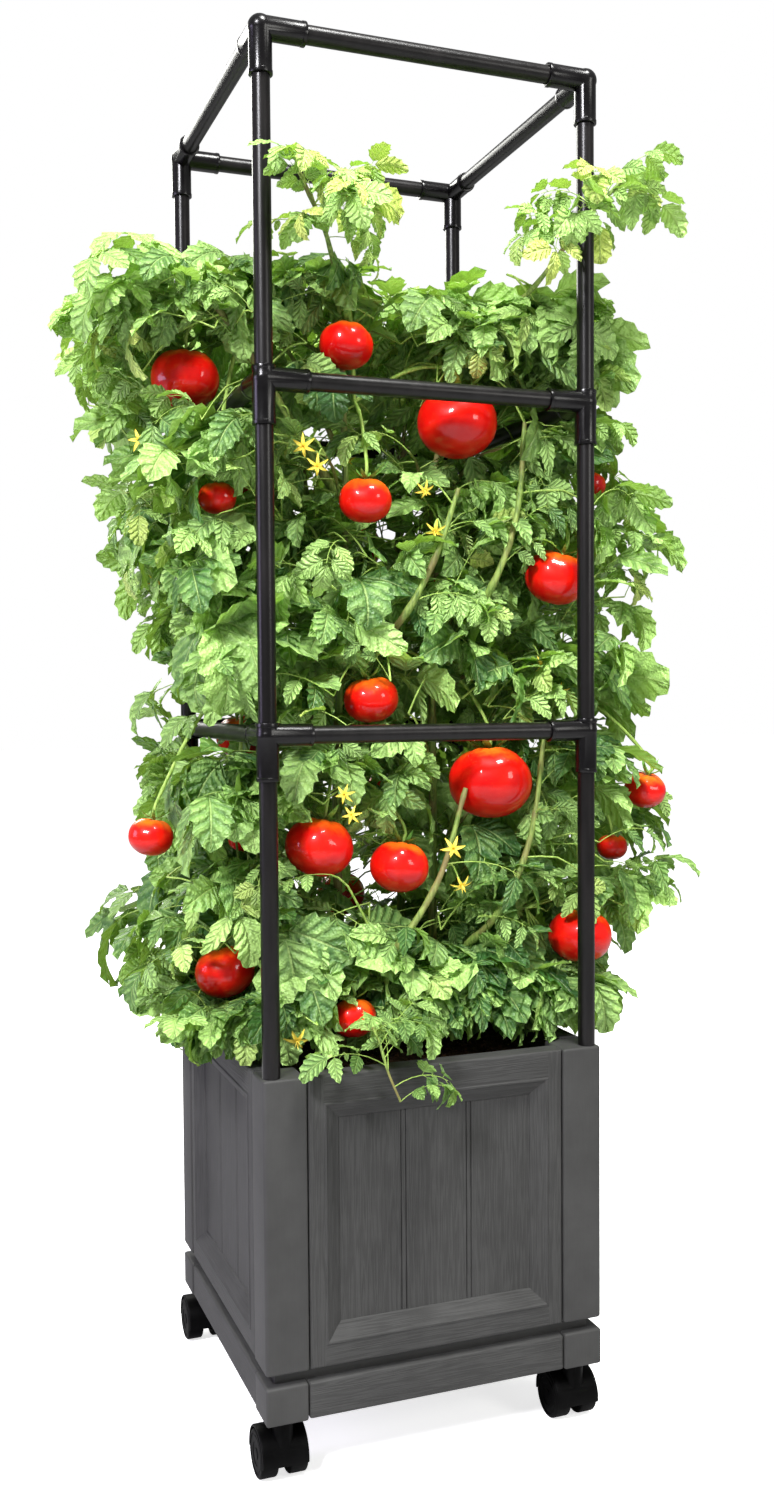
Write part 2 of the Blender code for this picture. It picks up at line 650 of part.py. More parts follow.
def build_casters(materials):
    """Each hood's origin is on its swivel axis, and each wheel pair's is on its axle."""
    hood = hood_mesh()
    wheels = wheel_pair_mesh()
    for name, (sx, sy) in CORNERS.items():
        hood_piece = add_object(f"caster_hood_{name}", hood, materials["caster"])
        hood_piece.location = (sx * CASTER_OFFSET, sy * CASTER_OFFSET, 0)
        wheel_piece = add_object(f"caster_wheels_{name}", wheels, materials["caster"])
        wheel_piece.parent = hood_piece
        wheel_piece.location = (0, CASTER_TRAIL, WHEEL_RADIUS)


# ---------------------------------------------------------------- trellis

def fitting_mesh(through):
    """A three-way fitting with arms along +X, +Y and -Z. A through one lets its post pass up."""
    bore = TUBE_RADIUS + FIT_GAP
    top = FITTING_COLLAR if through else 0.0
    model = add_helper("fitting_model", rod_mesh(FITTING_RADIUS, -FITTING_ARM, top))
    arms = [rod_mesh(FITTING_RADIUS, 0.0, FITTING_ARM, axis=axis) for axis in ("+X", "+Y")]
    if not through:
        ball = bmesh.new()
        around, upward = FITTING_BALL_SEGMENTS
        bmesh.ops.create_uvsphere(ball, u_segments=around, v_segments=upward, radius=FITTING_BALL_RADIUS)
        arms.append(finish_mesh(ball, "ball"))
    boolean(model, "UNION", arms, f"fitting_arms_{through}")
    stop = 0.0 if through else TUBE_STOP - TUBE_END_GAP
    end = FITTING_ARM + OVERCUT
    upper_end = FITTING_COLLAR + OVERCUT if through else -stop
    bores = [rod_mesh(bore, stop, end, axis=axis) for axis in ("+X", "+Y")]
    bores.append(rod_mesh(bore, -end, upper_end))
    boolean(model, "DIFFERENCE", bores, f"fitting_bores_{through}")
    return baked_mesh(model, "fitting")


def build_trellis(materials):
    inner = TUBE_RADIUS - TUBE_WALL
    foot = BOX_TOP - POST_SOCKET_DEPTH
    head = RING_HEIGHTS["top"] - TUBE_STOP
    post = pipe_mesh(TUBE_RADIUS, inner, foot, head)
    reach = TRELLIS_HALF - TUBE_STOP
    rail = pipe_mesh(TUBE_RADIUS, inner, -reach, reach, axis="+X", at=(0, -TRELLIS_HALF, 0))
    fittings = {"lower": fitting_mesh(True), "top": fitting_mesh(False)}
    fittings["middle"] = fittings["lower"]
    for name, (sx, sy) in CORNERS.items():
        piece = add_object(f"trellis_post_{name}", post, materials["tube"], smooth_angle=40)
        piece.location = (sx * TRELLIS_HALF, sy * TRELLIS_HALF, 0)
        for ring, height in RING_HEIGHTS.items():
            fitting = add_object(
                f"fitting_{ring}_{name}", fittings[ring], materials["fitting"], smooth_angle=40
            )
            fitting.location = (sx * TRELLIS_HALF, sy * TRELLIS_HALF, height)
            fitting.rotation_euler.z = math.atan2(-sy, -sx) - math.pi / 4
    for name, degrees in SIDES.items():
        for ring, height in RING_HEIGHTS.items():
            piece = add_object(f"rail_{ring}_{name}", rail, materials["tube"], smooth_angle=40)
            piece.location.z = height
            piece.rotation_euler.z = math.radians(degrees)


# ---------------------------------------------------------------- plant

def leaf_shape(foot, tip, arch, roll, margin=0.0):
    """Points and triangles of a closed, lobed leaf on its stalk, from its foot to its tip."""
    foot, tip = Vector(foot), Vector(tip)
    span = tip - foot
    length = span.length
    across = span.cross(Vector((0, 0, 1)))
    if across.length < 1e-4:
        across = Vector((1, 0, 0))
    across = (Matrix.Rotation(roll, 3, span) @ across).normalized()
    lift = across.cross(span).normalized()
    points = []
    for share, half in LEAF_STATIONS:
        half_width = STALK_HALF_WIDTH + margin + half * length
        stalk = min(share / STALK_SHARE, 1.0)
        thickness = STALK_THICKNESS + (LEAF_THICKNESS - STALK_THICKNESS) * stalk + 2 * margin
        rib = foot + span * share + lift * arch * length * 4 * share * (1 - share)
        sweep = span * (LOBE_SWEEP if half > 0.1 else 0.0)
        raised = lift * half * length * LEAF_FOLD
        for side in (-1, 0, 1):
            middle = rib + (across * side * half_width + sweep + raised if side else Vector())
            points.append(middle + lift * thickness / 2)
            points.append(middle - lift * thickness / 2)
    triangles = []

    def add_skins(a, b, c, d):
        """Adds a quad of the upper skin and the one under it, whose points are each one further on."""
        triangles.extend([(a, b, c), (a, c, d), (a + 1, c + 1, b + 1), (a + 1, d + 1, c + 1)])

    def add_rim(a, b, c, d):
        triangles.extend([(a, b, c), (a, c, d)])

    last = (len(LEAF_STATIONS) - 1) * 6
    for near in range(0, last, 6):
        far = near + 6
        add_skins(near, near + 2, far + 2, far)
        add_skins(near + 4, far + 4, far + 2, near + 2)
        add_rim(near, far, far + 1, near + 1)
        add_rim(near + 4, near + 5, far + 5, far + 4)
    for side in (0, 2):
        add_rim(side, side + 1, side + 3, side + 2)
        add_rim(last + side, last + side + 2, last + side + 3, last + side + 1)
    return points, triangles


def leaf_mesh(foot, tip, arch, roll):
    points, triangles = leaf_shape(foot, tip, arch, roll)
    mesh = bpy.data.meshes.new("leaf")
    mesh.from_pydata([tuple(p) for p in points], [], triangles)
    shape = bmesh.new()
    shape.from_mesh(mesh)
    bmesh.ops.recalc_face_normals(shape, faces=shape.faces)
    shape.to_mesh(mesh)
    shape.free()
    return mesh


def mesh_tree(mesh):
    points = [vertex.co for vertex in mesh.vertices]
    return BVHTree.FromPolygons(points, [tuple(face.vertices) for face in mesh.polygons])


def fruit_mesh(middle, radius, grow=0.0):
    shape = bmesh.new()
    around, upward = FRUIT_SEGMENTS
    bmesh.ops.create_uvsphere(shape, u_segments=around, v_segments=upward, radius=radius + grow)
    bmesh.ops.scale(shape, vec=(1, 1, FRUIT_SQUASH), verts=shape.verts)
    bmesh.ops.translate(shape, vec=middle, verts=shape.verts)
    return finish_mesh(shape, "fruit")


def truss_limbs(start, fruits, grow=0.0):
    """The stalks of a truss: one from its start to above each tomato, and down into it."""
    limbs = []
    start = Vector(start)
    for middle, radius in fruits:
        top = Vector(middle) + Vector((0, 0, radius * FRUIT_SQUASH))
        above = top + Vector((0, 0, PEDUNCLE_RISE))
        between = start.lerp(above, 0.5) + Vector((0, 0, PEDUNCLE_ARCH))
        inside = top - Vector((0, 0, radius * PEDUNCLE_DEPTH))
        path = smooth_path([start, between, above], 2) + [inside]
        end_radius = PEDUNCLE_RADIUS * PEDUNCLE_TAPER
        limbs.append(limb_mesh(path, PEDUNCLE_RADIUS + grow, end_radius + grow, PEDUNCLE_SIDES))
    return limbs


def build_trusses(materials):
    """Each truss is its stalks and tomatoes as one body. Returns what the leaves must clear."""
    trees = []
    for name, (start, fruits) in TRUSSES.items():
        limbs = truss_limbs(start, fruits)
        piece = add_object(f"truss_{name}", limbs[0], materials["fruit"], smooth_angle=60)
        shapes = limbs[1:] + [fruit_mesh(middle, radius) for middle, radius in fruits]
        boolean(piece, "UNION", shapes, f"join_truss_{name}")
        trees += [mesh_tree(mesh) for mesh in truss_limbs(start, fruits, STALK_CLEARANCE)]
        trees += [mesh_tree(fruit_mesh(middle, radius, FRUIT_CLEARANCE)) for middle, radius in fruits]
    return trees


def hardware_trees():
    """Bars and walls, a little oversize, that the leaves must clear."""
    trees = []
    radius = FITTING_RADIUS + BAR_CLEARANCE
    for sx, sy in CORNERS.values():
        at = (sx * TRELLIS_HALF, sy * TRELLIS_HALF, 0)
        post = rod_mesh(radius, BOX_TOP - POST_SOCKET_DEPTH, RING_HEIGHTS["top"] + radius, at=at)
        trees.append(mesh_tree(post))
    reach = TRELLIS_HALF
    for height in RING_HEIGHTS.values():
        for sign in (-1, 1):
            for axis, at in (("+X", (0, sign * reach, height)), ("+Y", (sign * reach, 0, height))):
                trees.append(mesh_tree(rod_mesh(radius, -reach, reach, axis=axis, at=at)))
    inner = PLANTER_HALF - RIM_WIDTH
    outer = PLANTER_HALF + RIM_CLEARANCE
    for sign in (-1, 1):
        near, far = sorted((sign * inner, sign * outer))
        for low, high in (((near, -outer), (far, outer)), ((-outer, near), (outer, far))):
            trees.append(mesh_tree(box_mesh((*low, BASE_BOTTOM), (*high, BOX_TOP + RIM_CLEARANCE))))
    trees.append(mesh_tree(box_mesh((-inner, -inner, BOX_BOTTOM), (inner, inner, SOIL_TOP + SOIL_CLEARANCE))))
    return trees


class Vine:
    """One stem with its shoots, and the points along them where leaves can grow."""

    def __init__(self, name, plan):
        self.name = name
        self.stem = smooth_path(plan["stem"], SPAN_STEPS)
        self.shoots = []
        for height, points in plan["shoots"]:
            foot = min(self.stem, key=lambda point: abs(point.z - height))
            self.shoots.append(smooth_path([foot] + [Vector(point) for point in points], SPAN_STEPS))
        self.leaves = []

    def paths(self):
        return [self.stem] + self.shoots

    def limbs(self, grow=0.0):
        main = limb_mesh(self.stem, VINE_FOOT_RADIUS + grow, VINE_TIP_RADIUS + grow)
        side = [
            limb_mesh(path, SHOOT_RADIUS + grow, VINE_TIP_RADIUS + grow) for path in self.shoots
        ]
        return [main] + side

    def feet(self):
        """Points where a leaf can leave the vine, from the soil up."""
        found = []
        for path in self.paths():
            for a, b in zip(path, path[1:]):
                found += [a.lerp(b, share) for share in (0.25, 0.75)]
        return [point for point in found if point.z > LOWEST_LEAF]


def grow_leaves(vines, obstacles):
    """Grows leaves on each vine in turn, each where it is clear of all the others."""
    draw = random.Random(LEAF_SEED)
    stems = {vine.name: [mesh_tree(mesh) for mesh in vine.limbs(VINE_CLEARANCE)] for vine in vines}
    grown = []

    def try_leaf(vine, foot, tip, arch, roll):
        points, triangles = leaf_shape(foot, tip, arch, roll, LEAF_CLEARANCE)
        limit_x = SPREAD_X + SPREAD_TOLERANCE
        limit_y = SPREAD_Y + SPREAD_TOLERANCE
        if any(abs(p.x) > limit_x or abs(p.y) > limit_y for p in points):
            return False
        tree = BVHTree.FromPolygons(points, triangles)
        others = [t for name, trees in stems.items() if name != vine.name for t in trees]
        if any(tree.overlap(other) for other in obstacles + others + grown):
            return False
        grown.append(tree)
        vine.leaves.append(leaf_mesh(foot, tip, arch, roll))
        return True

    for name, foot, tip in REACHING_LEAVES:
        vine = next(vine for vine in vines if vine.name == name)
        for attempt in range(REACHING_TRIES):
            roll = REACHING_TURN * (attempt // 2) * (-1) ** attempt
            if try_leaf(vine, foot, tip, LEAF_ARCH / 2, roll):
                break
    for vine in vines:
        turn = draw.uniform(0, math.tau)
        feet = vine.feet()
        for number in range(LEAVES_PER_VINE):
            foot = feet[number * len(feet) // LEAVES_PER_VINE]
            for _ in range(LEAF_TRIES):
                turn += LEAF_TURN
                outward = Vector((foot.x, foot.y, 0)).normalized()
                heading = Vector((math.cos(turn), math.sin(turn), 0))
                heading = (heading + outward * OUTWARD_PULL).normalized()
                length = draw.uniform(*LEAF_LENGTHS)
                drop = draw.uniform(*LEAF_DROPS)
                tip = foot + (heading + Vector((0, 0, drop))).normalized() * length
                if tip.z > CROWN_TOP and foot.z < CROWN_SHOULDER:
                    continue
                if try_leaf(vine, foot, tip, LEAF_ARCH, draw.uniform(*LEAF_ROLLS)):
                    break


def build_plant(materials):
    obstacles = hardware_trees() + build_trusses(materials)
    vines = [Vine(name, plan) for name, plan in VINES.items()]
    grow_leaves(vines, obstacles)
    for vine in vines:
        limbs = vine.limbs()
        piece = add_object(f"vine_{vine.name}", limbs[0], materials["vine"], smooth_angle=50)
        boolean(piece, "UNION", limbs[1:] + vine.leaves, f"join_vine_{vine.name}")
    build_soil(materials, [vine.stem[0] for vine in vines])


def main():
    for old in list(bpy.data.objects):
        bpy.data.objects.remove(old, do_unlink=True)
    materials = make_materials()
    build_corner_posts(materials)
    build_panels(materials)
    build_base(materials)
    build_casters(materials)
    build_trellis(materials)
    build_plant(materials)


main()
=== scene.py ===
"""The finished look of a tomato plant in a wheeled planter with a tube trellis.

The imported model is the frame: every piece here takes its place from it and rides on one of its bodies.
"""

import contextlib
import logging
import math
from collections.abc import Callable, Iterator, Sequence
from dataclasses import dataclass, field
from enum import Enum

import bmesh
import bpy
import numpy as np
from mathutils import Matrix, Vector, noise
from mathutils.bvhtree import BVHTree


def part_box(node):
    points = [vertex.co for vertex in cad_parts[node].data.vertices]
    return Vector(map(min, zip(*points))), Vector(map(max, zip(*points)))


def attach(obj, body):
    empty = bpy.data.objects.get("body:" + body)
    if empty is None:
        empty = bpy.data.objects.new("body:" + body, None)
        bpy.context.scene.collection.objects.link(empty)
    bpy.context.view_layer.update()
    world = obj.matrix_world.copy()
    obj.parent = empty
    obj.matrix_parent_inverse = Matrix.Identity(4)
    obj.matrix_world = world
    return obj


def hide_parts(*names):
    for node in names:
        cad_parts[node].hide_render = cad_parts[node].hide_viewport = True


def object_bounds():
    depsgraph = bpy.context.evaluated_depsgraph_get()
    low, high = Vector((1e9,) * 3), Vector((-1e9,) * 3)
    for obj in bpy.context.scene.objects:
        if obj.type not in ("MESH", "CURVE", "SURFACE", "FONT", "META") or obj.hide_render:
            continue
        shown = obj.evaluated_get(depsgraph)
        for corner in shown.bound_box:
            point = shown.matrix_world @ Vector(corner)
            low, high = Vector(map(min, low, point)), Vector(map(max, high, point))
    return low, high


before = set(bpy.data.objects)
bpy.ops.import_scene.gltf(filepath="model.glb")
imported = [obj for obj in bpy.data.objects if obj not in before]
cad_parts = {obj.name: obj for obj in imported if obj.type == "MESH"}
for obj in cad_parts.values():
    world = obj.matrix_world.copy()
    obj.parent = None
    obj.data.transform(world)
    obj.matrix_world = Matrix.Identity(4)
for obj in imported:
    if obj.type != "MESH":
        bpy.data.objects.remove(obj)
CAD_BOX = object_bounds()

log = logging.getLogger("tomato_planter")

PLANTER_BODY = "planter"
SEED = 41

Piece = bpy.types.Object
Material = bpy.types.Material
Point = tuple[float, float, float]


class Place(Enum):
    """A place that the frame's names give."""

    @property
    def label(self) -> str:
        """Its name in the frame."""
        return self.name.lower()


class Corner(Place):
    """The planter's corners: which way each one lies along X and Y."""

    FRONT_LEFT = (-1, -1)
    FRONT_RIGHT = (1, -1)
    BACK_RIGHT = (1, 1)
    BACK_LEFT = (-1, 1)

    @property
    def turn(self) -> Matrix:
        """The turn that takes a back right piece to this corner."""
        return Matrix.Rotation(math.atan2(self.value[1], self.value[0]) - math.pi / 4, 4, "Z")


class Side(Place):
    """The planter's sides: how far each is turned from the front, in degrees."""

    FRONT = 0
    RIGHT = 90
    BACK = 180
    LEFT = 270

    @property
    def turn(self) -> Matrix:
        """The turn that takes a front piece to this side."""
        return Matrix.Rotation(math.radians(self.value), 4, "Z")


class Ring(Enum):
    """The trellis's rings of rails, from the lowest."""

    LOWER = "lower"
    MIDDLE = "middle"
    TOP = "top"


class Slot(Enum):
    """Material slot names."""

    PLANTER = "planter_shell"
    SOIL = "soil"
    TUBE = "trellis_tube"
    FITTING = "trellis_fitting"
    CASTER = "caster"
    VINE = "vine"
    TOMATO = "tomato"


def linear(*display: float) -> tuple[float, float, float, float]:
    """A shader's opaque colour from display values.

    Args:
        display: Red, green and blue, from 0 to 255.

    Returns:
        The linear colour.
    """
    shares = (value / 255 for value in display)
    parts = [s / 12.92 if s <= 0.04045 else ((s + 0.055) / 1.055) ** 2.4 for s in shares]
    return (parts[0], parts[1], parts[2], 1.0)


# ---------------------------------------------------------------- shader tools


class Signal:
    """A node's output, on which arithmetic adds Math nodes."""

    def __init__(self, graph: "ShaderGraph", socket: bpy.types.NodeSocket) -> None:
        """Keeps the output that this stands for, and the graph that new nodes go to."""
        self.graph = graph
        self.socket = socket

    def _math(self, operation: str, *values: "Signal | float") -> "Signal":
        """The output of a Math node on these values."""
        return self.graph.node("ShaderNodeMath", {"operation": operation}, dict(enumerate(values)))

    def __add__(self, other: "Signal | float") -> "Signal":
        """Sum."""
        return self._math("ADD", self, other)

    __radd__ = __add__

    def __sub__(self, other: "Signal | float") -> "Signal":
        """Difference."""
        return self._math("SUBTRACT", self, other)

    def __rsub__(self, other: float) -> "Signal":
        """Difference from a number."""
        return self._math("SUBTRACT", other, self)

    def __mul__(self, other: "Signal | float") -> "Signal":
        """Product."""
        return self._math("MULTIPLY", self, other)

    __rmul__ = __mul__

    def __abs__(self) -> "Signal":
        """Size without sign."""
        return self._math("ABSOLUTE", self)

    def fraction(self) -> "Signal":
        """The part after the whole number."""
        return self._math("FRACT", self)

    def sine(self) -> "Signal":
        """Sine."""
        return self._math("SINE", self)

    def rise(self, low: float, high: float) -> "Signal":
        """0 below low, 1 above high, and a smooth step between.

        Args:
            low: Where the step starts.
            high: Where the step ends.

        Returns:
            The step.
        """
        settings = {"interpolation_type": "SMOOTHSTEP"}
        inputs = {"Value": self, "From Min": low, "From Max": high}
        return self.graph.node("ShaderNodeMapRange", settings, inputs)


class ShaderGraph:
    """A material's nodes."""

    def __init__(self, name: str) -> None:
        """Makes an empty material.

        Args:
            name: The material's name.
        """
        self.material = bpy.data.materials.new(name)
        self.material.use_nodes = True
        self.tree = self.material.node_tree
        self.tree.nodes.clear()

    def node(self, kind: str, settings: dict | None = None, inputs: dict | None = None,
             output: int | str = 0) -> Signal:
        """Adds a node.

        Args:
            kind: The node's type.
            settings: Its properties, set first. "stops" are a ramp's (place, colour) pairs.
            inputs: Values or signals for its sockets, by name or number.
            output: The output wanted, by name or number.

        Returns:
            That output.
        """
        made = self.tree.nodes.new(kind)
        for name, value in (settings or {}).items():
            if name != "stops":
                setattr(made, name, value)
                continue
            elements = made.color_ramp.elements
            while len(elements) < len(value):
                elements.new(1.0)
            for element, (place, colour) in zip(elements, value):
                element.position = place
                element.color = colour
        for name, value in (inputs or {}).items():
            socket = made.inputs[name]
            if isinstance(value, Signal):
                self.tree.links.new(value.socket, socket)
            else:
                socket.default_value = value
        return Signal(self, made.outputs[output])

    def place(self, kind: str = "Object", scale: Sequence[float] = (1, 1, 1)) -> Signal:
        """Coordinates of a surface point, "Object" or "UV", scaled along each axis."""
        coordinates = self.node("ShaderNodeTexCoord", output=kind)
        return self.node("ShaderNodeMapping", inputs={"Vector": coordinates, "Scale": scale})

    def axis(self, vector: Signal, name: str) -> Signal:
        """One of a vector's parts."""
        return self.node("ShaderNodeSeparateXYZ", inputs={"Vector": vector}, output=name)

    def attribute(self, name: str) -> Signal:
        """A number stored on the mesh."""
        settings = {"attribute_name": name, "attribute_type": "GEOMETRY"}
        return self.node("ShaderNodeAttribute", settings, output="Fac")

    def noise(self, place: Signal, scale: float, detail: float = 3.0, roughness: float = 0.5) -> Signal:
        """Smooth noise from 0 to 1.

        Args:
            place: Where it is read.
            scale: Its spots in a unit of length.
            detail: Its octaves.
            roughness: How strong the finer octaves are.

        Returns:
            The noise.
        """
        inputs = {"Vector": place, "Scale": scale, "Detail": detail, "Roughness": roughness}
        return self.node("ShaderNodeTexNoise", {"noise_dimensions": "3D"}, inputs)

    def cells(self, place: Signal, scale: float) -> Signal:
        """Distance from the middle of the nearest of many scattered cells."""
        return self.node("ShaderNodeTexVoronoi", inputs={"Vector": place, "Scale": scale})

    def blend(self, share: "Signal | float", first: "Signal | tuple", second: "Signal | tuple",
              mode: str = "MIX") -> Signal:
        """A colour between two.

        Args:
            share: 0 gives the first and 1 the second.
            first: A colour.
            second: A colour.
            mode: How the second goes over the first.

        Returns:
            The colour.
        """
        settings = {"data_type": "RGBA", "blend_type": mode, "clamp_factor": True}
        return self.node("ShaderNodeMix", settings, {0: share, 6: first, 7: second}, output=2)

    def bump(self, height: Signal, depth: float, strength: float = 1.0) -> Signal:
        """A normal bent by a height pattern that is depth metres deep."""
        return self.node("ShaderNodeBump", inputs={"Height": height, "Distance": depth, "Strength": strength})

    def surface(self, colour: "Signal | tuple", roughness: "Signal | float", normal: Signal,
                **constants: "float | tuple") -> Signal:
        """A Principled shader.

        Args:
            colour: Its base colour.
            roughness: Its roughness.
            normal: Its bent normal.
            constants: Other sockets' fixed values, by name with _ for a space.

        Returns:
            The shader.
        """
        inputs: dict = {"Base Color": colour, "Roughness": roughness, "Normal": normal}
        for name, value in constants.items():
            inputs[name.replace("_", " ")] = value
        return self.node("ShaderNodeBsdfPrincipled", inputs=inputs)

    def done(self, shader: Signal) -> Material:
        """Links the shader to the output and gives the material."""
        output = self.tree.nodes.new("ShaderNodeOutputMaterial")
        self.tree.links.new(shader.socket, output.inputs["Surface"])
        return self.material


# ---------------------------------------------------------------- finishes


@dataclass(frozen=True)
class PlanterFinish:
    """Moulded plastic with a fine wood grain along each board, or smooth on the corners."""

    name: str = "planter_grained"
    dark: tuple = linear(42, 42, 41)
    light: tuple = linear(63, 63, 62)
    grain: float = 1.0

    def material(self) -> Material:
        """The grain follows the UV map, whose U runs across the boards in metres."""
        graph = ShaderGraph(self.name)
        fine = graph.noise(graph.place("UV", (800, 10, 1)), 1.0, 4.0, 0.6)
        figure = graph.noise(graph.place("UV", (95, 3.2, 1)), 1.0, 3.0, 0.55)
        lines = ((figure * 64.0).sine() * 0.5 + 0.5) * 0.5 + fine * 0.5
        body = graph.place()
        cloud = graph.noise(body, 9.0, 3.0)
        pores = graph.noise(body, 1400.0, 2.0)
        worn = graph.noise(body, 42.0, 4.0, 0.62)
        tone = cloud * 0.4 + lines * (0.36 * self.grain) + worn * 0.24 + (0.18 * (1 - self.grain))
        colour = graph.blend(tone.rise(0.2, 0.85), self.dark, self.light)
        roughness = 0.5 + cloud * 0.12 + lines * (0.1 * self.grain)
        height = lines * (0.85 * self.grain) + pores * 0.15
        normal = graph.bump(height, 0.00055, 0.75)
        return graph.done(graph.surface(colour, roughness, normal, Specular_IOR_Level=0.2))


@dataclass(frozen=True)
class TubeFinish:
    """Satin black enamel on drawn tube."""

    name: str = "trellis_satin_black"
    dark: tuple = linear(8, 7, 7)
    light: tuple = linear(19, 17, 17)

    def material(self) -> Material:
        """A slight orange peel and faint rub marks."""
        graph = ShaderGraph(self.name)
        body = graph.place()
        peel = graph.noise(body, 900.0, 2.0)
        rubs = graph.noise(graph.place("Object", (60, 60, 9)), 1.0, 5.0, 0.6)
        colour = graph.blend(rubs.rise(0.3, 0.75), self.dark, self.light)
        roughness = 0.24 + rubs * 0.14
        normal = graph.bump(peel * 0.7 + rubs * 0.3, 0.00022, 0.5)
        return graph.done(graph.surface(colour, roughness, normal, Specular_IOR_Level=0.24))


@dataclass(frozen=True)
class BlackPlasticFinish:
    """Moulded black plastic: glossy on the fittings, duller on the casters."""

    name: str
    dark: tuple
    light: tuple
    roughness: float
    specular: float

    def material(self) -> Material:
        """Faint flow marks, and dust that settles in spots."""
        graph = ShaderGraph(self.name)
        body = graph.place()
        flow = graph.noise(body, 55.0, 4.0, 0.55)
        grit = graph.noise(body, 1600.0, 2.0)
        colour = graph.blend(flow.rise(0.3, 0.8), self.dark, self.light)
        roughness = self.roughness + flow * 0.16
        normal = graph.bump(flow * 0.5 + grit * 0.5, 0.0002, 0.5)
        return graph.done(
            graph.surface(colour, roughness, normal, Specular_IOR_Level=self.specular)
        )


@dataclass(frozen=True)
class SoilFinish:
    """Damp potting soil with pale bits."""

    name: str = "potting_soil"
    dark: tuple = linear(38, 26, 18)
    light: tuple = linear(92, 66, 45)
    bits: tuple = linear(176, 158, 130)

    def material(self) -> Material:
        """Crumbs in several browns and a few pale specks."""
        graph = ShaderGraph(self.name)
        body = graph.place()
        crumbs = graph.noise(body, 120.0, 6.0, 0.7)
        cells = graph.cells(body, 260.0)
        specks = (1 - cells.rise(0.08, 0.2)) * graph.noise(body, 35.0).rise(0.52, 0.6)
        brown = graph.blend(crumbs.rise(0.3, 0.72), self.dark, self.light)
        colour = graph.blend(specks * 0.8, brown, self.bits)
        normal = graph.bump(crumbs + cells * 0.5, 0.003, 0.9)
        roughness = 0.85 + crumbs * 0.12
        return graph.done(graph.surface(colour, roughness, normal, Specular_IOR_Level=0.2))


@dataclass(frozen=True)
class StalkFinish:
    """Green stalks: ridged along their length, hairy, browner on old wood."""

    name: str
    green: tuple
    pale: tuple
    old: tuple
    age: float

    def material(self) -> Material:
        """Streaks that run up the stalk, blotches of the old colour, and fine hairs."""
        graph = ShaderGraph(self.name)
        body = graph.place()
        streaks = graph.noise(graph.place("Object", (420, 420, 26)), 1.0, 3.0)
        blotches = graph.noise(body, 22.0, 4.0)
        hairs = graph.noise(body, 1500.0, 2.0, 0.7)
        green = graph.blend(streaks.rise(0.3, 0.7), self.green, self.pale)
        edge = 0.72 - 0.3 * self.age
        colour = graph.blend(blotches.rise(edge - 0.1, edge + 0.12) * 0.7, green, self.old)
        normal = graph.bump(streaks * 0.7 + hairs * 0.3, 0.0006, 0.7)
        roughness = 0.48 + hairs * 0.2
        return graph.done(graph.surface(colour, roughness, normal, Specular_IOR_Level=0.35))


@dataclass(frozen=True)
class LeafFinish:
    """Tomato leaves: veined, puckered, lit through by the sun."""

    name: str = "tomato_leaf"
    deep: tuple = linear(50, 94, 42)
    fresh: tuple = linear(172, 212, 118)
    yellow: tuple = linear(204, 218, 112)
    vein: tuple = linear(176, 204, 120)
    glow: tuple = linear(150, 196, 60)
    see_through: float = 0.27

    def material(self) -> Material:
        """U runs from edge to edge of a leaflet, V from its foot to its tip, and "tint" is its age."""
        graph = ShaderGraph(self.name)
        flat = graph.place("UV")
        across = abs(graph.axis(flat, "X") * 2.0 - 1.0)
        along = graph.axis(flat, "Y")
        tint = graph.attribute("tint")
        body = graph.place()
        midrib = 1.0 - across.rise(0.015, 0.09)
        wander = graph.noise(graph.place("UV", (2.2, 2.2, 1)), 1.0, 2.0)
        phase = ((along - across * (0.34 - across * 0.1)) * 5.6 + wander * 1.1).fraction()
        # Puffs between the side veins: a height for the bump, and also painted light in the colour.
        puff = (0.5 - abs(phase - 0.5)).rise(0.0, 0.4) * across.rise(0.0, 0.3)
        mottle = graph.noise(body, 46.0, 4.0, 0.6)
        net = graph.cells(body, 300.0)
        # The leaf's age and mottling, plus painted light: the puffs are coloured paler, so the sunken veins
        # read as painted shade.
        youth_and_painted_light = (tint + mottle * 0.6 + puff * 0.16 - 0.38).rise(0.0, 0.8)
        green = graph.blend(youth_and_painted_light, self.deep, self.fresh)
        green = graph.blend((tint + mottle * 0.2).rise(0.92, 1.25), green, self.yellow)
        colour = graph.blend(midrib * 0.55, green, self.vein)
        height = puff * 0.55 + net * 0.35 + mottle * 0.5 - midrib * 0.3
        normal = graph.bump(height, 0.0045, 1.0)
        roughness = 0.36 + mottle * 0.2
        blade = graph.surface(colour, roughness, normal, Specular_IOR_Level=0.5)
        lit = graph.node("ShaderNodeBsdfTranslucent", inputs={"Color": self.glow})
        return graph.done(graph.node(
            "ShaderNodeMixShader", inputs={0: self.see_through, 1: blade, 2: lit}
        ))


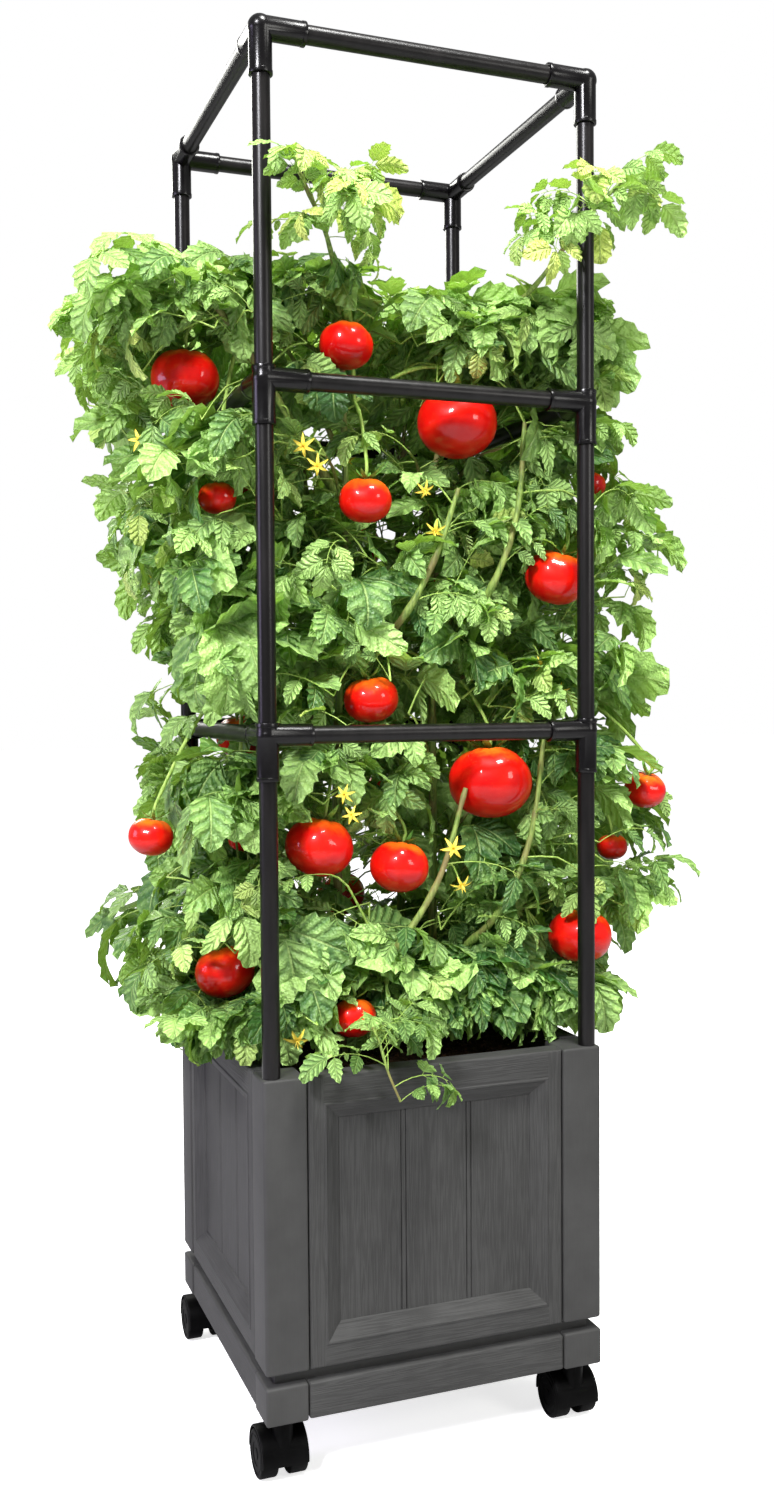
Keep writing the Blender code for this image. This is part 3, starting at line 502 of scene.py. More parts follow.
@dataclass(frozen=True)
class FruitFinish:
    """Ripe tomato skin: glossy red, orange round the stalk, with painted shade darkening the bottom."""

    name: str = "ripe_tomato"
    # deep: the darker red of the painted shade on the lower half of each fruit.
    deep: tuple = linear(136, 3, 5)
    red: tuple = linear(194, 6, 7)
    bright: tuple = linear(222, 24, 10)
    shoulder: tuple = linear(244, 112, 22)
    gloss: float = 0.45

    def material(self) -> Material:
        """V runs from the bottom of the fruit to its stalk, and "tint" is how green it still is."""
        graph = ShaderGraph(self.name)
        height = graph.axis(graph.place("UV"), "Y")
        body = graph.place()
        mottle = graph.noise(body, 38.0, 4.0, 0.55)
        flecks = graph.noise(body, 520.0, 2.0, 0.6)
        skin = graph.blend(mottle.rise(0.25, 0.75), self.red, self.bright)
        # Painted shade: the skin is blended towards the deep red towards the bottom of the fruit.
        skin = graph.blend((0.55 - height).rise(0.0, 0.5) * 0.7, skin, self.deep)
        near_stalk = (height + mottle * 0.5 + graph.attribute("tint") * 0.15).rise(1.0, 1.3)
        colour = graph.blend(near_stalk * 0.85, skin, self.shoulder)
        colour = graph.blend(flecks.rise(0.62, 0.78) * 0.12, colour, self.shoulder)
        roughness = 0.3 + mottle * 0.1
        normal = graph.bump(mottle * 0.75 + flecks * 0.25, 0.0009, 0.5)
        return graph.done(graph.surface(
            colour, roughness, normal, Specular_IOR_Level=0.1, Coat_Weight=self.gloss,
            Coat_Roughness=0.03, Subsurface_Weight=0.05, Subsurface_Radius=(0.012, 0.003, 0.002),
        ))


@dataclass(frozen=True)
class PetalFinish:
    """Yellow petals, streaked paler."""

    name: str = "tomato_flower"
    yellow: tuple = linear(250, 214, 40)
    pale: tuple = linear(255, 238, 120)

    def material(self) -> Material:
        """Fine streaks along each petal."""
        graph = ShaderGraph(self.name)
        body = graph.place()
        streaks = graph.noise(graph.place("UV", (30, 3, 1)), 1.0, 3.0)
        crumple = graph.noise(body, 300.0, 3.0)
        colour = graph.blend(streaks.rise(0.3, 0.75), self.yellow, self.pale)
        roughness = 0.5 + crumple * 0.2
        normal = graph.bump(streaks * 0.5 + crumple * 0.5, 0.0005, 0.6)
        return graph.done(graph.surface(colour, roughness, normal, Specular_IOR_Level=0.3))


@dataclass(frozen=True)
class FloorFinish:
    """A plain pale studio floor."""

    name: str = "studio_floor"
    pale: tuple = (0.9, 0.9, 0.9, 1.0)
    paler: tuple = (0.94, 0.94, 0.94, 1.0)
    dull: tuple = (0.2, 0.2, 0.2, 1.0)
    glow: float = 0.7

    def material(self) -> Material:
        """Very faint clouding. It glows white to the eye, and throws little light back."""
        graph = ShaderGraph(self.name)
        clouds = graph.noise(graph.place(), 2.0)
        normal = graph.bump(clouds, 0.0001, 0.1)
        shown = graph.surface(
            graph.blend(clouds, self.pale, self.paler), 0.8, normal, Specular_IOR_Level=0.1,
            Emission_Color=(1, 1, 1, 1), Emission_Strength=self.glow,
        )
        thrown = graph.surface(graph.blend(clouds, self.dull, self.pale), 0.8, normal)
        seen = graph.node("ShaderNodeLightPath", output="Is Camera Ray")
        return graph.done(graph.node("ShaderNodeMixShader", inputs={0: seen, 1: thrown, 2: shown}))


# ---------------------------------------------------------------- modelling tools


def clear_selection() -> None:
    """Leaves nothing selected, in object mode."""
    if bpy.context.mode != "OBJECT":
        bpy.ops.object.mode_set(mode="OBJECT")
    bpy.ops.object.select_all(action="DESELECT")


def take(*pieces: Piece) -> Piece:
    """Selects only these pieces, the first active, and gives the first."""
    clear_selection()
    for piece in pieces:
        piece.select_set(True)
    bpy.context.view_layer.objects.active = pieces[0]
    return pieces[0]


def settle(piece: Piece) -> Piece:
    """Puts a piece's place, turn and size into its mesh."""
    take(piece)
    bpy.ops.object.transform_apply(location=True, rotation=True, scale=True)
    return piece


def new_block(name: str, low: Sequence[float], high: Sequence[float]) -> Piece:
    """Adds a box between two corners.

    Args:
        name: Its name.
        low: Its lowest corner.
        high: Its highest corner.

    Returns:
        The piece.
    """
    clear_selection()
    first, last = Vector(low), Vector(high)
    bpy.ops.mesh.primitive_cube_add(size=1, location=(first + last) / 2, scale=last - first)
    piece = bpy.context.object
    piece.name = name
    return settle(piece)


def new_rod(name: str, radius: float, start: float, end: float, sides: int = 40,
            axis: str = "Z") -> Piece:
    """Adds a capped cylinder along an axis through the origin.

    Args:
        name: Its name.
        radius: Its radius.
        start: Where it starts on the axis.
        end: Where it ends on the axis.
        sides: Its sides.
        axis: X, Y or Z.

    Returns:
        The piece.
    """
    clear_selection()
    turns = {"X": (0, math.pi / 2, 0), "Y": (-math.pi / 2, 0, 0), "Z": (0, 0, 0)}
    along = {"X": Vector((1, 0, 0)), "Y": Vector((0, 1, 0)), "Z": Vector((0, 0, 1))}[axis]
    bpy.ops.mesh.primitive_cylinder_add(
        vertices=sides, radius=radius, depth=abs(end - start),
        location=along * (start + end) / 2, rotation=turns[axis],
    )
    piece = bpy.context.object
    piece.name = name
    return settle(piece)


@contextlib.contextmanager
def editing(piece: Piece) -> Iterator[None]:
    """Edit mode on one piece, with nothing selected at the start."""
    take(piece)
    bpy.ops.object.mode_set(mode="EDIT")
    bpy.ops.mesh.select_all(action="DESELECT")
    yield
    bpy.ops.object.mode_set(mode="OBJECT")


def pick(piece: Piece, kind: str, wanted: Callable[..., bool]) -> None:
    """In edit mode, selects only the wanted parts of a kind: FACE, EDGE or VERT."""
    bpy.ops.mesh.select_mode(type=kind)
    bpy.ops.mesh.select_all(action="DESELECT")
    shape = bmesh.from_edit_mesh(piece.data)
    for part in {"FACE": shape.faces, "EDGE": shape.edges, "VERT": shape.verts}[kind]:
        part.select_set(wanted(part))
    bmesh.update_edit_mesh(piece.data)


def pick_faces(piece: Piece, wanted: Callable[[Vector, Vector], bool]) -> None:
    """In edit mode, selects only the faces whose middle and normal are wanted."""
    pick(piece, "FACE", lambda face: wanted(face.calc_center_median(), face.normal))


def pick_edges(piece: Piece, wanted: Callable[[Vector, Vector], bool]) -> None:
    """In edit mode, selects only the edges whose two ends are wanted."""
    pick(piece, "EDGE", lambda edge: wanted(edge.verts[0].co, edge.verts[1].co))


def pick_points(piece: Piece, wanted: Callable[[Vector], bool]) -> None:
    """In edit mode, selects only the vertices at wanted places."""
    pick(piece, "VERT", lambda point: wanted(point.co))


def inset_steps(steps: Sequence[tuple[float, float]]) -> None:
    """Insets the selected face again and again, by (thickness, depth)."""
    for thickness, depth in steps:
        bpy.ops.mesh.inset(thickness=thickness, depth=depth, use_even_offset=True)


def apply_modifier(piece: Piece, kind: str, **settings: object) -> Piece:
    """Adds a modifier with these settings and applies it."""
    take(piece)
    modifier = piece.modifiers.new(kind.title(), kind)
    for name, value in settings.items():
        setattr(modifier, name, value)
    bpy.ops.object.modifier_apply(modifier=modifier.name)
    return piece


def round_edges(piece: Piece, width: float, segments: int = 3,
                angle: float = 40.0) -> Piece:
    """Rounds every edge sharper than an angle in degrees."""
    return apply_modifier(
        piece, "BEVEL", width=width, segments=segments, limit_method="ANGLE",
        angle_limit=math.radians(angle), harden_normals=False,
    )


def combine(piece: Piece, others: Sequence[Piece], operation: str) -> Piece:
    """Joins solids to a piece or cuts them from it, and removes them."""
    for other in others:
        apply_modifier(piece, "BOOLEAN", operation=operation, object=other, solver="EXACT")
        bpy.data.objects.remove(other)
    return piece


def join(name: str, pieces: Sequence[Piece]) -> Piece:
    """Makes several pieces one, under a name."""
    piece = take(*pieces)
    if len(pieces) > 1:
        bpy.ops.object.join()
    piece.name = name
    return piece


def soften(piece: Piece, degrees: float = 35.0) -> Piece:
    """Smooth shading that keeps the sharp edges."""
    take(piece)
    bpy.ops.object.shade_smooth_by_angle(angle=math.radians(degrees), keep_sharp_edges=False)
    return piece


def copy_of(model: Piece, name: str, place: Matrix) -> Piece:
    """A copy of a model with its own mesh, moved to a place.

    Args:
        model: What is copied.
        name: The copy's name.
        place: Where it goes.

    Returns:
        The copy, with its place in its mesh.
    """
    piece = model.copy()
    piece.data = model.data.copy()
    piece.name = name
    piece.data.name = name
    bpy.context.scene.collection.objects.link(piece)
    piece.data.transform(place)
    return piece


def dress(piece: Piece, materials: "Material | list",
          body: str = PLANTER_BODY, stands_for: Sequence[str] = ()) -> Piece:
    """Gives a finished piece its materials, its body and the nodes that it stands for.

    Args:
        piece: The piece.
        materials: One material, or the list that its faces count in.
        body: The body that it moves with.
        stands_for: The nodes that it replaces.

    Returns:
        The piece.
    """
    piece.data.materials.clear()
    for material in materials if isinstance(materials, list) else [materials]:
        piece.data.materials.append(material)
    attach(piece, body)
    if stands_for:
        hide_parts(*stands_for)
    log.info("%s: %d faces on %s", piece.name, len(piece.data.polygons), body)
    return piece


def board_map(piece: Piece, along: Callable[[Vector], Vector],
              board: Callable[[Vector], float]) -> None:
    """Lays a UV map whose V runs along each board and U across it, in metres.

    Args:
        piece: The piece.
        along: The way that the board under a face runs, from the face's middle.
        board: A number for that board, so that no two have the same grain.
    """
    mesh = piece.data
    layer = mesh.uv_layers.active or mesh.uv_layers.new(name="boards")
    for face in mesh.polygons:
        run = along(face.center)
        normal = face.normal
        if abs(normal.dot(run)) > 0.8:
            run = Vector((1, 0, 0)) if abs(normal.x) < 0.5 else Vector((0, 0, 1))
        across = normal.cross(run)
        if across.length < 1e-6:
            across = Vector((0, 1, 0))
        across.normalize()
        if across[max(range(3), key=lambda k: abs(across[k]))] < 0:
            across.negate()
        shift = board(face.center)
        for corner in face.loop_indices:
            point = mesh.vertices[mesh.loops[corner].vertex_index].co
            layer.data[corner].uv = (point.dot(across) + shift, point.dot(run) + shift * 3.7)


def new_object(name: str, data: bpy.types.ID) -> Piece:
    """Adds an object with this data to the scene."""
    piece = bpy.data.objects.new(name, data)
    bpy.context.scene.collection.objects.link(piece)
    return piece


def shape_of(piece: Piece) -> tuple[np.ndarray, list]:
    """The points and faces of a primitive, which is then removed."""
    points = np.array([point.co[:] for point in piece.data.vertices])
    faces = [tuple(face.vertices) for face in piece.data.polygons]
    bpy.data.objects.remove(piece)
    return points, faces


def strip(columns: int, rows: int) -> tuple[np.ndarray, np.ndarray, list]:
    """A flat grid: how far across, from -1 to 1, and along, from 0 to 1, its points are, and its faces."""
    clear_selection()
    bpy.ops.mesh.primitive_grid_add(x_subdivisions=columns, y_subdivisions=rows, size=1)
    flat, faces = shape_of(bpy.context.object)
    return flat[:, 0] * 2, flat[:, 1] + 0.5, faces


class Shapes:
    """Many small shapes, gathered for one piece."""

    def __init__(self) -> None:
        """Starts with no shape."""
        self.points: list[np.ndarray] = []
        self.faces: list[tuple] = []
        self.uv: list[np.ndarray] = []
        self.tint: list[np.ndarray] = []
        self.count = 0

    def add(self, points: np.ndarray, faces: Sequence, uv: "np.ndarray | float" = 0.5,
            tint: "np.ndarray | float" = 0.5) -> None:
        """Adds a shape.

        Args:
            points: Its points, one row each.
            faces: The point numbers of each face.
            uv: A pair for each point, or a number for all.
            tint: A number for each point, or one for all.
        """
        self.points.append(points)
        self.faces.extend(tuple(self.count + v for v in face) for face in faces)
        self.uv.append(np.broadcast_to(uv, (len(points), 2)))
        self.tint.append(np.broadcast_to(tint, len(points)))
        self.count += len(points)

    def piece(self, name: str, mapped: bool = True, tinted: bool = True) -> Piece:
        """Makes the shapes one smooth piece.

        Args:
            name: Its name.
            mapped: Whether it has a UV map.
            tinted: Whether it carries its tints.

        Returns:
            The piece.
        """
        mesh = bpy.data.meshes.new(name)
        mesh.from_pydata(np.vstack(self.points).tolist(), [], self.faces)
        mesh.polygons.foreach_set("use_smooth", np.ones(len(mesh.polygons), bool))
        piece = new_object(name, mesh)
        if mapped:
            corners = np.empty(len(mesh.loops), np.int32)
            mesh.loops.foreach_get("vertex_index", corners)
            flat = np.vstack(self.uv)[corners].astype(np.float32)
            mesh.uv_layers.new(name="flat").data.foreach_set("uv", flat.ravel())
        if tinted:
            shades = np.concatenate(self.tint).astype(np.float32)
            mesh.attributes.new("tint", "FLOAT", "POINT").data.foreach_set("value", shades)
        return piece


def smooth_path(points: Sequence[Sequence[float]], step: float) -> np.ndarray:
    """A smooth path through points.

    Args:
        points: The points that it passes.
        step: The distance between the path's own points.

    Returns:
        The path, one row for each point.
    """
    knots = np.array([tuple(point) for point in points], float)
    ends = np.vstack([2 * knots[0] - knots[1], knots, 2 * knots[-1] - knots[-2]])
    path = [knots[0]]
    for before, first, last, after in zip(ends, ends[1:], ends[2:], ends[3:]):
        count = max(2, round(float(np.linalg.norm(last - first)) / step))
        for share in np.linspace(0, 1, count + 1)[1:]:
            path.append(0.5 * (
                2 * first + (last - before) * share
                + (2 * before - 5 * first + 4 * last - after) * share**2
                + (3 * first - before - 3 * last + after) * share**3
            ))
    return np.array(path)


def stalk(name: str, path: np.ndarray, start_radius: float, end_radius: float, sides: int = 3,
          joint_gap: float = 0.0) -> Piece:
    """A round stalk along a path, as a curve made into a mesh.

    Args:
        name: Its name.
        path: The points that it follows.
        start_radius: Its radius at the first point.
        end_radius: Its radius at the last point.
        sides: How finely it is rounded.
        joint_gap: The distance between its swollen joints, or 0 for none.

    Returns:
        The stalk.
    """
    curve = bpy.data.curves.new(name, "CURVE")
    curve.dimensions = "3D"
    curve.bevel_depth = 1.0
    curve.bevel_resolution = sides
    curve.use_fill_caps = True
    line = curve.splines.new("POLY")
    line.points.add(len(path) - 1)
    steps = np.linalg.norm(np.diff(path, axis=0), axis=1)
    far = np.concatenate([[0], np.cumsum(steps)])
    for point, place, run in zip(line.points, path, far):
        point.co = (*place, 1)
        swell = 0.0
        if joint_gap:
            swell = 0.28 * math.exp(-(((run / joint_gap) % 1.0 - 0.5) * 9.0) ** 2)
        share = run / far[-1]
        point.radius = (start_radius + (end_radius - start_radius) * share) * (1 + swell)
    take(new_object(name, curve))
    bpy.ops.object.convert(target="MESH")
    piece = bpy.context.object
    piece.data.polygons.foreach_set("use_smooth", np.ones(len(piece.data.polygons), bool))
    return piece


# ---------------------------------------------------------------- planter


@dataclass
class PlanterBox:
    """Four corner posts and four framed, planked panels."""

    finish: Material
    smooth_finish: Material
    post_round: float = 0.0036
    panel_round: float = 0.0028
    opening_half: float = 0.13
    opening_bottom: float = 0.146
    opening_top: float = 0.402
    plank_joint: float = 0.038
    joint_half: float = 0.0027
    slit_half: float = 0.0007
    slit_depth: float = 0.0016
    moulding: tuple = ((0.0012, 0.0009), (0.0014, 0.0001), (0.0012, -0.0011), (0.0022, -0.001),
                       (0.0034, -0.0022), (0.0042, -0.0028), (0.0034, -0.002), (0.0014, -0.0006),
                       (0.0011, -0.0015))

    def build(self) -> None:
        """Builds the posts and the panels."""
        self.build_posts()
        self.build_panels()

    def build_posts(self) -> None:
        """One rounded post, copied to each corner."""
        low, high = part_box("corner_post_back_right")
        model = new_block("post_model", low, high)
        with editing(model):
            pick_edges(model, lambda a, b: abs(a.x - high.x) < 1e-5 and abs(b.x - high.x) < 1e-5
                       and abs(a.y - high.y) < 1e-5 and abs(b.y - high.y) < 1e-5)
            bpy.ops.mesh.bevel(offset=self.post_round * 1.3, segments=5, affect="EDGES")
        round_edges(model, self.post_round * 0.8, 3, 60)
        board_map(model, lambda middle: Vector((0, 0, 1)), lambda middle: 0.31)
        for corner in Corner:
            post = soften(copy_of(model, f"planter_post_{corner.label}", corner.turn))
            dress(post, self.smooth_finish, stands_for=[f"corner_post_{corner.label}"])
        bpy.data.objects.remove(model)

    def panel_model(self) -> Piece:
        """The front panel: flat frame, moulding, and a field of three planks."""
        post_low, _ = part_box("corner_post_front_right")
        node_low, node_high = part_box("side_panel_front")
        half = post_low.x - 0.0012
        face = node_low.y + 0.0012
        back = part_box("soil")[0].y - 0.0004
        panel = new_block("panel_model", (-half, face, node_low.z), (half, back, node_high.z))
        middle_z = (self.opening_bottom + self.opening_top) / 2

        def in_opening(middle: Vector, normal: Vector) -> bool:
            """True for the faces of the framed opening."""
            return normal.y < -0.9 and abs(middle.x) < 0.1 and abs(middle.z - middle_z) < 0.1

        with editing(panel):
            pick_edges(panel, lambda a, b: a.y < face + 1e-5 and b.y < face + 1e-5)
            bpy.ops.mesh.bevel(offset=self.panel_round, segments=4, affect="EDGES")
            pick_edges(panel, lambda a, b: a.z > node_high.z - 1e-5 and b.z > node_high.z - 1e-5
                       and a.y > back - 1e-5 and b.y > back - 1e-5)
            bpy.ops.mesh.bevel(offset=self.panel_round, segments=4, affect="EDGES")
            cuts = [((-self.opening_half, 0, 0), (1, 0, 0)), ((self.opening_half, 0, 0), (1, 0, 0)),
                    ((0, 0, self.opening_bottom), (0, 0, 1)), ((0, 0, self.opening_top), (0, 0, 1))]
            for place, normal in cuts:
                bpy.ops.mesh.select_all(action="SELECT")
                bpy.ops.mesh.bisect(plane_co=place, plane_no=normal)
            pick_faces(panel, in_opening)
            inset_steps(self.moulding)
            floor = face - sum(depth for _, depth in self.moulding)
            for joint in (-self.plank_joint, self.plank_joint):
                for edge in (joint - self.joint_half, joint + self.joint_half):
                    self.cut_slit(panel, edge, floor)
        return panel

    def cut_slit(self, panel: Piece, place: float, floor: float) -> None:
        """Cuts a thin V down the field, as on each side of a plank joint."""
        for cut in (place - self.slit_half, place, place + self.slit_half):
            pick_faces(panel, lambda middle, normal: normal.y < -0.9 and abs(middle.y - floor) < 2e-4)
            bpy.ops.mesh.bisect(plane_co=(cut, 0, 0), plane_no=(1, 0, 0))
        pick_points(panel, lambda point: abs(point.x - place) < 1e-4 and abs(point.y - floor) < 2e-4)
        bpy.ops.transform.translate(value=(0, self.slit_depth, 0))

    def moulding_width(self) -> float:
        """How far the moulding reaches in from the opening's edge."""
        return sum(inset for inset, _ in self.moulding)

    def grain_of(self, middle: Vector) -> Vector:
        """The way that the wood runs under a place on the front panel."""
        beyond_x = abs(middle.x) - self.opening_half
        above = max(middle.z - self.opening_top, self.opening_bottom - middle.z)
        upright = above < 0 and (beyond_x > 0 or beyond_x > above or above < -self.moulding_width())
        return Vector((0, 0, 1)) if upright or beyond_x > 0 else Vector((1, 0, 0))

    def board_of(self, middle: Vector) -> float:
        """A number for the board under a place on the front panel."""
        if self.grain_of(middle).x:
            return 1.7 if middle.z > 0.3 else 2.9
        if abs(middle.x) > self.opening_half - self.moulding_width():
            return 4.1 if middle.x > 0 else 5.3
        return 6.7 + round((middle.x + 0.0001) / (2 * self.plank_joint)) * 1.13

    def build_panels(self) -> None:
        """The panel, copied to each side."""
        model = self.panel_model()
        board_map(model, self.grain_of, self.board_of)
        for side in Side:
            panel = soften(copy_of(model, f"planter_panel_{side.label}", side.turn), 25)
            dress(panel, self.finish, stands_for=[f"side_panel_{side.label}"])
        bpy.data.objects.remove(model)


@dataclass
class PlanterBase:
    """The tray under the box: corner blocks, rails, and the neck that the box stands on."""

    finish: Material
    smooth_finish: Material
    edge_round: float = 0.0028
    pocket_half: float = 0.14
    neck_half: float = 0.183
    floor_bottom: float = 0.1
    rail_top: float = 0.11
    drain_radius: float = 0.006
    drain_offset: float = 0.08
    seam: float = 0.0012

    def build(self) -> None:
        """Builds the blocks, the rails, and the neck with its floor."""
        low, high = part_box("base_tray")
        top = self.rail_top
        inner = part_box("corner_post_back_right")[0].x
        block = new_block("block_model", (inner + self.seam, inner + self.seam, low.z), (high.x, high.y, top))
        round_edges(block, self.edge_round, 4, 60)
        board_map(block, lambda middle: Vector((0, 0, 1)), lambda middle: 0.77)
        for corner in Corner:
            piece = soften(copy_of(block, f"base_block_{corner.label}", corner.turn))
            dress(piece, self.smooth_finish)
        bpy.data.objects.remove(block)
        rail = new_block(
            "rail_model", (-inner, low.y + 0.0012, low.z + 0.0006), (inner, -self.pocket_half, top - 0.0006)
        )
        round_edges(rail, self.edge_round, 4, 60)
        board_map(rail, lambda middle: Vector((1, 0, 0)), lambda middle: 9.1)
        for side in Side:
            dress(soften(copy_of(rail, f"base_rail_{side.label}", side.turn)), self.finish)
        bpy.data.objects.remove(rail)
        neck = new_block(
            "base_neck", (-self.neck_half, -self.neck_half, self.floor_bottom),
            (self.neck_half, self.neck_half, high.z),
        )
        round_edges(neck, 0.0015, 2, 60)
        holes = []
        for corner in Corner:
            hole = new_rod("hole", self.drain_radius, 0.05, 0.2, 24)
            hole.location = (corner.value[0] * self.drain_offset, corner.value[1] * self.drain_offset, 0)
            holes.append(settle(hole))
        combine(neck, holes, "DIFFERENCE")
        board_map(neck, lambda middle: Vector((1, 0, 0)), lambda middle: 3.3)
        dress(soften(neck), self.smooth_finish, stands_for=["base_tray"])


@dataclass
class SoilBed:
    """Potting soil: a lumpy surface with loose crumbs on it."""

    finish: Material
    squares: int = 72
    lump: float = 0.006
    crumbs: int = 260
    thickness: float = 0.02

    def height(self, x: float, y: float) -> float:
        """How far the soil stands above its edge at a place."""
        broad = noise.noise(Vector((x * 14, y * 14, 0.3)))
        fine = noise.noise(Vector((x * 75, y * 75, 4.1)))
        crown = max(0.0, 1 - (x * x + y * y) / 0.03)
        return self.lump * (0.55 * crown + 0.5 * broad + 0.3 * fine) - 0.001

    def build(self) -> None:
        """Builds the bed, then scatters the crumbs."""
        low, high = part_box("soil")
        edge = high.z - self.lump
        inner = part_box("corner_post_back_right")[0].x - 0.0008
        clear_selection()
        bpy.ops.mesh.primitive_grid_add(
            x_subdivisions=self.squares, y_subdivisions=self.squares, size=high.x - low.x,
            location=(0, 0, edge),
        )
        bed = settle(bpy.context.object)
        bed.name = "soil_bed"
        with editing(bed):
            pick_faces(bed, lambda middle, normal: abs(middle.x) > inner and abs(middle.y) > inner)
            bpy.ops.mesh.delete(type="FACE")
        for point in bed.data.vertices:
            point.co.z += self.height(point.co.x, point.co.y)
        apply_modifier(bed, "SOLIDIFY", thickness=self.thickness, offset=-1.0)
        dress(soften(bed, 80), self.finish, stands_for=["soil"])
        self.scatter_crumbs(edge, inner)

    def scatter_crumbs(self, edge: float, inner: float) -> None:
        """Copies one knobbly crumb over the bed."""
        clear_selection()
        bpy.ops.mesh.primitive_ico_sphere_add(subdivisions=2, radius=1)
        model = bpy.context.object
        for point in model.data.vertices:
            point.co *= 1 + 0.35 * noise.noise(point.co * 1.7)
        shape, faces = shape_of(model)
        rng = np.random.default_rng(SEED)
        crumbs = Shapes()
        for _ in range(self.crumbs):
            x, y = rng.uniform(-inner + 0.01, inner - 0.01, 2)
            size = rng.uniform(0.0018, 0.0052) * np.array([1.0, rng.uniform(0.6, 1.0), rng.uniform(0.5, 0.8)])
            angle = rng.uniform(0, math.tau)
            turn = np.array([[math.cos(angle), -math.sin(angle), 0], [math.sin(angle), math.cos(angle), 0],
                             [0, 0, 1]])
            place = (x, y, edge + self.height(x, y) + size[2] * 0.3)
            crumbs.add((shape * size) @ turn.T + place, faces)
        dress(crumbs.piece("soil_crumbs", mapped=False, tinted=False), self.finish)


# ---------------------------------------------------------------- trellis


@dataclass
class Trellis:
    """Four posts, three rings of rails, and the fittings that join them."""

    tube_finish: Material
    fitting_finish: Material
    tube_radius: float = 0.0095
    tube_wall: float = 0.0015
    sleeve_radius: float = 0.01195
    lip_radius: float = 0.01245
    arm: float = 0.047
    collar: float = 0.013
    lip: float = 0.0045
    ball_radius: float = 0.0128
    sides: int = 40

    def build(self) -> None:
        """Builds the posts, the rails and the fittings."""
        for corner in Corner:
            low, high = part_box(f"trellis_post_{corner.label}")
            post = self.tube(f"trellis_upright_{corner.label}", low.z, high.z, "Z")
            post.location = ((low.x + high.x) / 2, (low.y + high.y) / 2, 0)
            dress(settle(post), self.tube_finish, stands_for=[f"trellis_post_{corner.label}"])
        for side in Side:
            for ring in Ring:
                node = f"rail_{ring.value}_{side.label}"
                low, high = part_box(node)
                along_x = side in (Side.FRONT, Side.BACK)
                span = (low.x, high.x) if along_x else (low.y, high.y)
                rail = self.tube(f"trellis_{node}", *span, "X" if along_x else "Y")
                middle = (low + high) / 2
                rail.location = (0, middle.y, middle.z) if along_x else (middle.x, 0, middle.z)
                dress(settle(rail), self.tube_finish, stands_for=[node])
        self.build_fittings()

    def tube(self, name: str, start: float, end: float, axis: str) -> Piece:
        """A drawn tube with a bore and rolled ends."""
        piece = new_rod(name, self.tube_radius, start, end, self.sides, axis)
        number = "XYZ".index(axis)
        with editing(piece):
            for sign in (-1, 1):
                pick_faces(piece, lambda middle, normal: normal[number] * sign > 0.9)
                inset_steps(((0.0004, 0.0003), (self.tube_wall - 0.0004, 0.0), (0.0001, -0.02)))
        return soften(piece)

    def sleeve(self, length: float, axis: str, sign: int) -> Piece:
        """One arm of a fitting: a plain barrel, a slightly wider mouth with a rounded lip, and its bore."""
        barrel = length - self.lip
        number = "XYZ".index(axis)
        piece = new_rod("sleeve", self.sleeve_radius, *sorted((0.0, sign * barrel)), self.sides, axis)
        wider = self.lip_radius / self.sleeve_radius
        out = [0.0, 0.0, 0.0]
        out[number] = sign

        def grow(distance: float, scale: float) -> None:
            """Extrudes the mouth along the arm and scales it."""
            bpy.ops.mesh.extrude_region_move(
                TRANSFORM_OT_translate={"value": [part * distance for part in out]}
            )
            sizes = [scale, scale, scale]
            sizes[number] = 1.0
            bpy.ops.transform.resize(value=sizes)

        with editing(piece):
            pick_faces(piece, lambda middle, normal: normal[number] * sign > 0.9)
            grow(0.0005, wider)
            grow(self.lip - 0.0013, 1.0)
            grow(0.0005, 0.985)
            grow(0.0003, 0.955)
            rim = self.lip_radius * 0.985 * 0.955
            inset_steps(((rim - self.tube_radius - 0.0003, 0.0), (0.00005, -0.0035)))
        return piece

    def fitting_model(self, through: bool) -> Piece:
        """Arms along +X, +Y and -Z from a rounded corner, and a collar up if the post passes through."""
        model = self.sleeve(self.arm, "Z", -1)
        arms = [self.sleeve(self.arm, "X", 1), self.sleeve(self.arm, "Y", 1)]
        if through:
            arms.append(self.sleeve(self.collar, "Z", 1))
        clear_selection()
        bpy.ops.mesh.primitive_uv_sphere_add(
            segments=self.sides, ring_count=24, radius=self.lip_radius if through else self.ball_radius
        )
        arms.append(bpy.context.object)
        combine(model, arms, "UNION")
        with editing(model):
            bpy.ops.mesh.select_all(action="SELECT")
            bpy.ops.mesh.remove_doubles(threshold=0.00002)
            bpy.ops.mesh.normals_make_consistent(inside=False)
        return model

    def build_fittings(self) -> None:
        """The two models, copied to each corner of each ring."""
        models = {Ring.LOWER: self.fitting_model(True), Ring.TOP: self.fitting_model(False)}
        models[Ring.MIDDLE] = models[Ring.LOWER]
        rails = {ring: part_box(f"rail_{ring.value}_front") for ring in Ring}
        for corner in Corner:
            sx, sy = corner.value
            post_low, post_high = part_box(f"trellis_post_{corner.label}")
            for ring, (low, high) in rails.items():
                place = Matrix.Translation(
                    ((post_low.x + post_high.x) / 2, (post_low.y + post_high.y) / 2, (low.z + high.z) / 2)
                )
                name = f"trellis_joint_{ring.value}_{corner.label}"
                fitting = soften(copy_of(models[ring], name, place @ Corner((-sx, -sy)).turn), 32)
                node = f"fitting_{ring.value}_{corner.label}"
                dress(fitting, self.fitting_finish, stands_for=[node])
        for model in {models[Ring.LOWER], models[Ring.TOP]}:
            bpy.data.objects.remove(model)


# ---------------------------------------------------------------- casters


